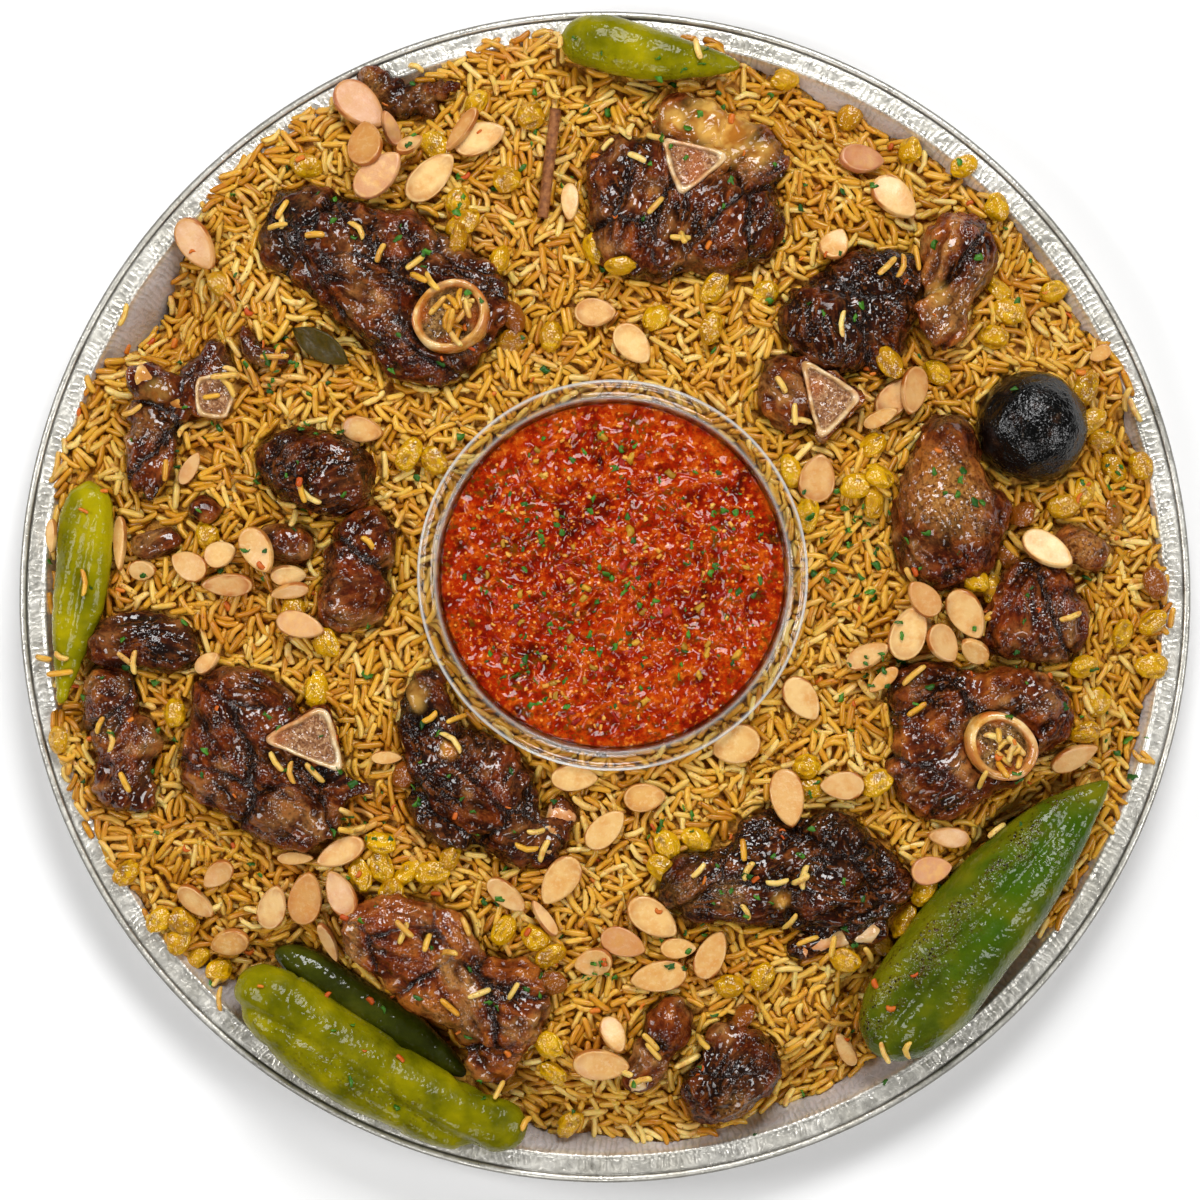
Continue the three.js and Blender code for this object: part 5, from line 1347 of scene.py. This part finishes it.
def fleck_shape(length, width, rng):
    """A scrap of chopped leaf: a thin crumpled solid."""
    columns, rows = 4, 3
    u, v = np.meshgrid(np.linspace(-1, 1, columns), np.linspace(-1, 1, rows))
    outline = (1 - 0.35 * rng.random(u.shape) * (np.abs(u) + np.abs(v))).ravel()
    crumple = 0.35 * rng.standard_normal(u.size)
    sheet = np.stack([u.ravel() * length / 2 * outline, v.ravel() * width / 2 * outline, crumple], -1)
    return leaf_solid(sheet, columns, rows, 0.16)


def shred_shape(length, width, rng):
    """A thin curved strip of carrot."""
    places = GRAIN * [length / 2, width / 2, width / 3]
    places[:, 1] += rng.normal(0, 0.8) * (0.5 - GRAIN[:, 0] ** 2)
    return places, GRAIN_FACES


def seed_shape(length, width, rng):
    """A flat seed or a soft uneven dice of vegetable."""
    uneven = 1 + 0.22 * rng.standard_normal((len(GRAIN), 1))
    return GRAIN * uneven * [length / 2, length * 0.36, length * rng.uniform(0.14, 0.3)], GRAIN_FACES


def leaf_material(name, dark, light, gloss=0.35):
    paint = Paint(name, Specular_IOR_Level=gloss, Subsurface_Weight=0.05)
    paint.colour = paint.mix(paint.attribute("shade"), dark, light)
    paint.lay(dark, paint.noise(1.4, 2), 0.4, 0.6, 0.0, 0.4)
    return paint.finish(paint.mottled(2, 2, 0.3, 0.55), paint.bump(paint.noise(0.7, 2), 0.1))


def lay_scraps(name, spots, heights, seed, size, material, slot, shape=fleck_shape, lift=0.35):
    """Small scraps lying on whatever the height map holds."""
    rng = random(seed)
    parts = []
    for x, y in spots:
        length = rng.uniform(*size)
        scrap, faces = shape(length, length * rng.uniform(0.35, 0.8), rng)
        turn = rng.random() * 2 * math.pi
        up = tilted(heights, x, y) + 0.25 * rng.standard_normal(3)
        centre = np.array([x, y, heights[cells(x, y)] + lift])
        placed = turned_to(scrap, centre, [math.cos(turn), math.sin(turn), 0], up)
        parts.append((placed, faces, {"shade": rng.random()}))
    add_piece(name, joined(parts), material, slot)


def round_places(rng, count, least, most, reach):
    """Places in a round area, between two shares of it."""
    angle, away = rng.random(count) * 2 * math.pi, np.sqrt(rng.uniform(least, most, count)) * reach
    return np.stack([away * np.cos(angle), away * np.sin(angle)], -1)


def make_garnish(heights):
    """Parsley and carrot all over the plate, and herbs, seeds and diced vegetables in the sauce."""
    rng = random(21)
    spots = [rng.normal((x, y), spread, (count, 2)) for x, y, spread, count in PARSLEY_CLUSTERS]
    spots = np.concatenate([*spots, round_places(rng, 170, 0.12, 0.92, TRAY.radius)])
    spots = [spot for spot in spots if from_tub(*spot) > TUB_RADIUS + 2 and np.hypot(*spot) < EDIBLE_REACH]
    parsley = leaf_material("parsley", (24, 72, 8), (78, 140, 28))
    lay_scraps("parsley", spots, heights, 22, (2.0, 5.0), parsley, "leaf")

    spots = np.concatenate([round_places(random(23), 110, 0.14, 0.86, TRAY.radius), CARROT])
    spots = [spot for spot in spots if from_tub(*spot) > TUB_RADIUS + 2]
    carrot = leaf_material("carrot", (186, 70, 4), (222, 128, 30))
    lay_scraps("carrot", spots, heights, 24, (1.8, 4.4), carrot, "rice", shred_shape, 0.1)

    seed = leaf_material("sauce_seed", (214, 130, 30), (240, 186, 84))
    dice = leaf_material("sauce_dice", (150, 104, 10), (222, 162, 40))
    red = leaf_material("sauce_tomato", (132, 8, 0), (190, 40, 4))
    rng = random(31)
    for number, (name, count, size, material, shape, lift) in enumerate((
            ("herbs", 170, (1.5, 4.5), parsley, fleck_shape, 0.1), ("seeds", 80, (1.4, 2.6), seed, seed_shape, 0.0),
            ("dice", 46, (2.2, 4.4), dice, seed_shape, -0.1), ("tomato", 60, (3.0, 7.0), red, fleck_shape, 0.0))):
        spots = round_places(rng, count, 0, 1, 60) + [TUB_X, TUB_Y]
        lay_scraps("sauce_" + name, spots, heights, 32 + number, size, material, "sauce", shape, lift)


# Whole spices


def make_cinnamon():
    """A thin quill of rolled bark along the CAD stick."""
    centre, along, _, (spread, _, _) = laid_along("cinnamon_stick")
    length, radius, wall, steps = np.ptp(spread), 2.45, 0.5, 34
    up = np.cross(along, np.cross([0, 0, 1], along))
    share = np.linspace(0, 1, 26)
    angle, reach = np.radians(-40 + 610 * share), radius * (0.42 + 0.58 * share)
    outline = np.stack([reach * np.cos(angle), reach * np.sin(angle)], -1)
    inward = outline * (1 - wall / np.maximum(np.linalg.norm(outline, axis=1), 0.9))[:, None]
    section = np.concatenate([outline, inward[::-1]])
    count, rings = len(section), []
    for at in np.linspace(-length / 2, length / 2, steps):
        station = np.full(count, at)
        wobble = 1 + 0.05 * noise(np.column_stack([section * 2, station]), 7, 61)
        rings.append(np.column_stack([station, section * wobble[:, None]]))
    i = np.arange(count // 2 - 1)
    end = np.stack([i, i + 1, count - 2 - i, count - 1 - i], -1)
    quads = np.concatenate([sweep_faces(steps, count), end, end[:, ::-1] + (steps - 1) * count])
    shape = turned_to(np.concatenate(rings), centre, along, up), triangles(quads)[:, ::-1]
    paint = Paint("cinnamon_bark", Specular_IOR_Level=0.3)
    grain = paint.noise(2.5, 4, 0.65)
    paint.colour = paint.ramp(grain, (0.3, 92, 50, 24), (0.5, 140, 84, 42), (0.7, 172, 116, 66))
    normal = paint.bump(paint.noise(0.7, 3), 0.25, paint.bump(grain, 0.4))
    material = paint.finish(paint.span(grain, 0.3, 0.7, 0.45, 0.75), normal)
    add_piece("cinnamon_quill", shape, material, "cinnamon", "cinnamon_stick")


def make_bay_leaf():
    """A thin leaf, pointed at both ends, with a midrib, over the CAD leaf."""
    centre, along, up, (spread, across, _) = laid_along("bay_leaf")
    columns, rows = 28, 11
    u, v = np.meshgrid(np.linspace(-1, 1, columns), np.linspace(-1, 1, rows))
    x = u * np.ptp(spread) / 2
    y = v * np.ptp(across) / 2 * np.maximum(1 - np.abs(u) ** 2.2, 0.03)
    z = 0.9 * np.sin(u * 4) + 0.9 * np.abs(v) ** 1.5 - 0.35 * bell(v, 0, 0.12) + 0.3 * np.cos(v * 5 + u * 9)
    places, faces = leaf_solid(np.stack([x, y, z], -1).reshape(-1, 3), columns, rows, 0.2)
    shape = turned_to(places, centre, along, up), faces, {"shade": 0.5}
    add_piece("bay_leaf_blade", shape, leaf_material("bay", (40, 34, 4), (84, 68, 10), 0.15), "leaf", "bay_leaf")


# Stage

FLOOR_SIZE = 6000
# Place, size and power of the lamps, in metres and watts
LAMPS = {"key": ((0.2, 1.15, 1.35), 0.75, 23.5), "left": ((-1.2, 0.1, 1.1), 0.6, 11),
         "right": ((1.2, -0.4, 1.1), 0.6, 9.5), "near": ((-0.2, -1.3, 1.2), 0.6, 7)}


def make_stage():
    corners = [(-1, -1), (1, -1), (1, 1), (-1, 1)]
    floor = add_mesh("floor", [(x * FLOOR_SIZE, y * FLOOR_SIZE, -0.05) for x, y in corners], [[0, 1, 2, 3]],
                     smooth=False)
    paint = Paint("floor_paint", Roughness=0.9, Specular_IOR_Level=0.1, Base_Color=(0.95, 0.95, 0.95, 1))
    floor.data.materials.append(paint.material)
    world = bpy.data.worlds.new("studio")
    world.use_nodes = True
    background = world.node_tree.nodes["Background"]
    background.inputs["Color"].default_value = (1.0, 0.98, 0.95, 1)
    background.inputs["Strength"].default_value = 0.09
    bpy.context.scene.world = world
    for name, (place, size, power) in LAMPS.items():
        lamp = bpy.data.lights.new(name, "AREA")
        lamp.shape = "SQUARE"
        lamp.size = size
        lamp.energy = power
        obj = bpy.data.objects.new(name, lamp)
        obj.location = place
        obj.rotation_euler = (-Vector(place)).to_track_quat("-Z", "Y").to_euler()
        bpy.context.scene.collection.objects.link(obj)


def make_camera():
    """Straight down over the middle of the photograph, which takes in 1200 pixels at the rim's height."""
    camera = bpy.data.cameras.new("camera")
    x = (PHOTO_SIZE / 2 - PHOTO_CENTRE[0]) * MM_PER_PIXEL
    y = (PHOTO_CENTRE[1] - PHOTO_SIZE / 2) * MM_PER_PIXEL
    half_width = PHOTO_SIZE / 2 * MM_PER_PIXEL
    camera.sensor_width = 36
    camera.lens = camera.sensor_width / 2 * (CAMERA_HEIGHT - TRAY.bead_height) / half_width
    camera.clip_start, camera.clip_end = 0.1, 20
    obj = bpy.data.objects.new("camera", camera)
    obj.location = (x * MM, y * MM, CAMERA_HEIGHT * MM)
    bpy.context.scene.collection.objects.link(obj)
    bpy.context.scene.camera = obj


# Putting the plate together

CORE_SEGMENTS = 480
CORE_TOP_RINGS = 62
CORE_DEPTH = 4.0  # how far the core lies under the level that the loose grains reach


def tray_surface():
    """Height of the tray's upper side all over the grid."""
    slope = np.clip((np.hypot(GRID_X, GRID_Y) - TRAY.base) / (TRAY.wall_top - TRAY.base), 0, 1)
    return TRAY.sheet + (TRAY.band_height - TRAY.sheet) * slope


def make_core(floor, known):
    """The rice under the loose grains: a ring of relief from the tub's wall to the tray's wall."""
    angle = circle(CORE_SEGMENTS)
    east, north = np.cos(angle)[:, None], np.sin(angle)[:, None]
    reach = np.arange(TUB_RADIUS, HALF, 0.5)
    there = known[cells(TUB_X + reach * east, TUB_Y + reach * north)]
    outer = reach[len(reach) - 1 - np.argmax(there[:, ::-1], axis=1)]
    outer = np.convolve(np.concatenate([outer[-3:], outer, outer[:3]]), np.full(7, 1 / 7), "valid")
    ahead = TUB_X * east[:, 0] + TUB_Y * north[:, 0]
    wall = np.sqrt(ahead**2 + (TRAY.wall_top - 1) ** 2 - TUB_X**2 - TUB_Y**2) - ahead
    inner = tub_wall_radius(SAUCE_TOP) + 0.6
    radius = inner + (np.minimum(outer, wall)[:, None] - inner) * np.linspace(0, 1, CORE_TOP_RINGS)
    x, y = TUB_X + radius * east, TUB_Y + radius * north
    z = floor[cells(x, y)]
    scale = np.minimum((TRAY.base - 2) / np.hypot(x[:, -1], y[:, -1]), 1)
    x = np.column_stack([x, x[:, -1] * scale, TUB_X + (TUB_FOOT + 1.2) * east[:, 0]])
    y = np.column_stack([y, y[:, -1] * scale, TUB_Y + (TUB_FOOT + 1.2) * north[:, 0]])
    z = np.column_stack([z, np.full((CORE_SEGMENTS, 2), TRAY.sheet + 0.5)])
    index = np.arange(x.size).reshape(x.shape)
    ahead = np.roll(index, -1, 0)
    quads = np.stack([index, np.roll(index, -1, 1), np.roll(ahead, -1, 1), ahead], -1).reshape(-1, 4)
    # painted shade: the core is painted a darker gold than the grains, as rice seen in the shaded gaps between them
    paint = Paint("rice_core_paint", Roughness=0.55, Specular_IOR_Level=0.3)
    paint.colour = paint.ramp(paint.noise(3.0, 3, 0.6), (0.35, 150, 92, 18), (0.5, 196, 134, 40),
                              (0.65, 222, 166, 66))
    material = paint.finish(None, paint.bump(paint.noise(2.4, 3, 0.6), 1.6))
    add_piece("rice_core", (np.stack([x, y, z], -1).reshape(-1, 3), triangles(quads)), material, "rice", "rice")


def piece_heights(solid):
    """Height of the meat, bones, peppers and lime where they are, with pinholes closed."""
    pieces = height_map(NOWHERE)
    for places in solid:
        stamp(pieces, places)
    around = np.max([shifted(pieces, *move) for move in AROUND], 0)
    close = np.sum([shifted(pieces > NOWHERE, *move) for move in AROUND], 0) >= 5
    return np.where((pieces == NOWHERE) & close, around, pieces)


def lay_rice(solid, sauce):
    """The core, the bed of grains under overhanging meat and the heap. Returns the heights of it all."""
    pieces = piece_heights(solid)
    covered = pieces > NOWHERE
    raw = node_heights("rice")
    known = raw > TRAY.sheet + 2
    smooth = blurred_where(raw, known & ~covered, 7)
    smooth = np.where(smooth > NOWHERE, smooth, blurred_where(raw, known, 7))
    near_meat = blurred(widened(covered, 5).astype(float), 5)
    beside = blurred_where(smooth, known, 3)
    target = np.where(widened(known, 2.5), beside + 2.0 * np.clip(near_meat, 0, 1), NOWHERE)
    relief = layered(flat(GRID_X.ravel(), GRID_Y.ravel()), 5, 2, 3).reshape(SIDE, SIDE)
    tray_top = tray_surface()
    floor = np.where(known, np.maximum(target - CORE_DEPTH + 0.8 * relief, tray_top + 0.3), tray_top)
    make_core(floor, known)

    under = height_map(NOWHERE)
    for places in solid:
        stamp(under, places * [1, 1, -1])
    under = np.where(under > NOWHERE, -under, SKY)
    open_below = known & covered & (under > floor + 2.5) & widened(~covered, 8)
    bed = Heap(np.where(widened(open_below, 3), floor + 4, NOWHERE), floor, height_map(NOWHERE), under + 2)
    bed.pour(random(8), BED_LAYERS)

    thin = node_heights("cinnamon_stick", "bay_leaf", *[name for name in NODES if name.startswith("almond_")])
    ceiling = np.where(thin > NOWHERE, thin - 4.0, SKY)
    heap = Heap(target, np.maximum(bed.heights, pieces), pieces, ceiling)
    heap.grains += bed.grains
    stamp(heap.heights, sauce)
    rng = random(5)
    heap.pour(rng, HEAP_LAYERS)
    poured = heap.count()
    for x, y, spread, count in STRAYS:
        at = rng.normal((x, y), spread * 1.4 if spread > 4 else spread, (count, 2))
        heap.drop(rng, at[np.hypot(*at.T) < EDIBLE_REACH])

    laid = np.concatenate(heap.grains)
    kinds = random(6).random(len(laid))
    kinds[poured:] = 0.35 + 0.34 * kinds[poured:]
    low = 0.0
    for name, (share, *colours) in RICE_KINDS.items():
        shape = grain_meshes(laid[(kinds >= low) & (kinds < low + share)], random(len(name)))
        add_piece("rice_" + name, shape, rice_material("rice_" + name, *colours), "rice")
        low += share
    return heap.heights


def main():
    make_tray()
    make_tub()
    sauce = make_sauce()
    find_bone_tops()
    heights = lay_rice(make_meat() + make_bones() + make_peppers() + [make_lime()], sauce)
    make_raisins(heights)
    make_almonds(heights)
    make_garnish(heights)
    make_cinnamon()
    make_bay_leaf()
    make_stage()
    make_camera()


bpy.context.scene.view_settings.view_transform = "Standard"
main()
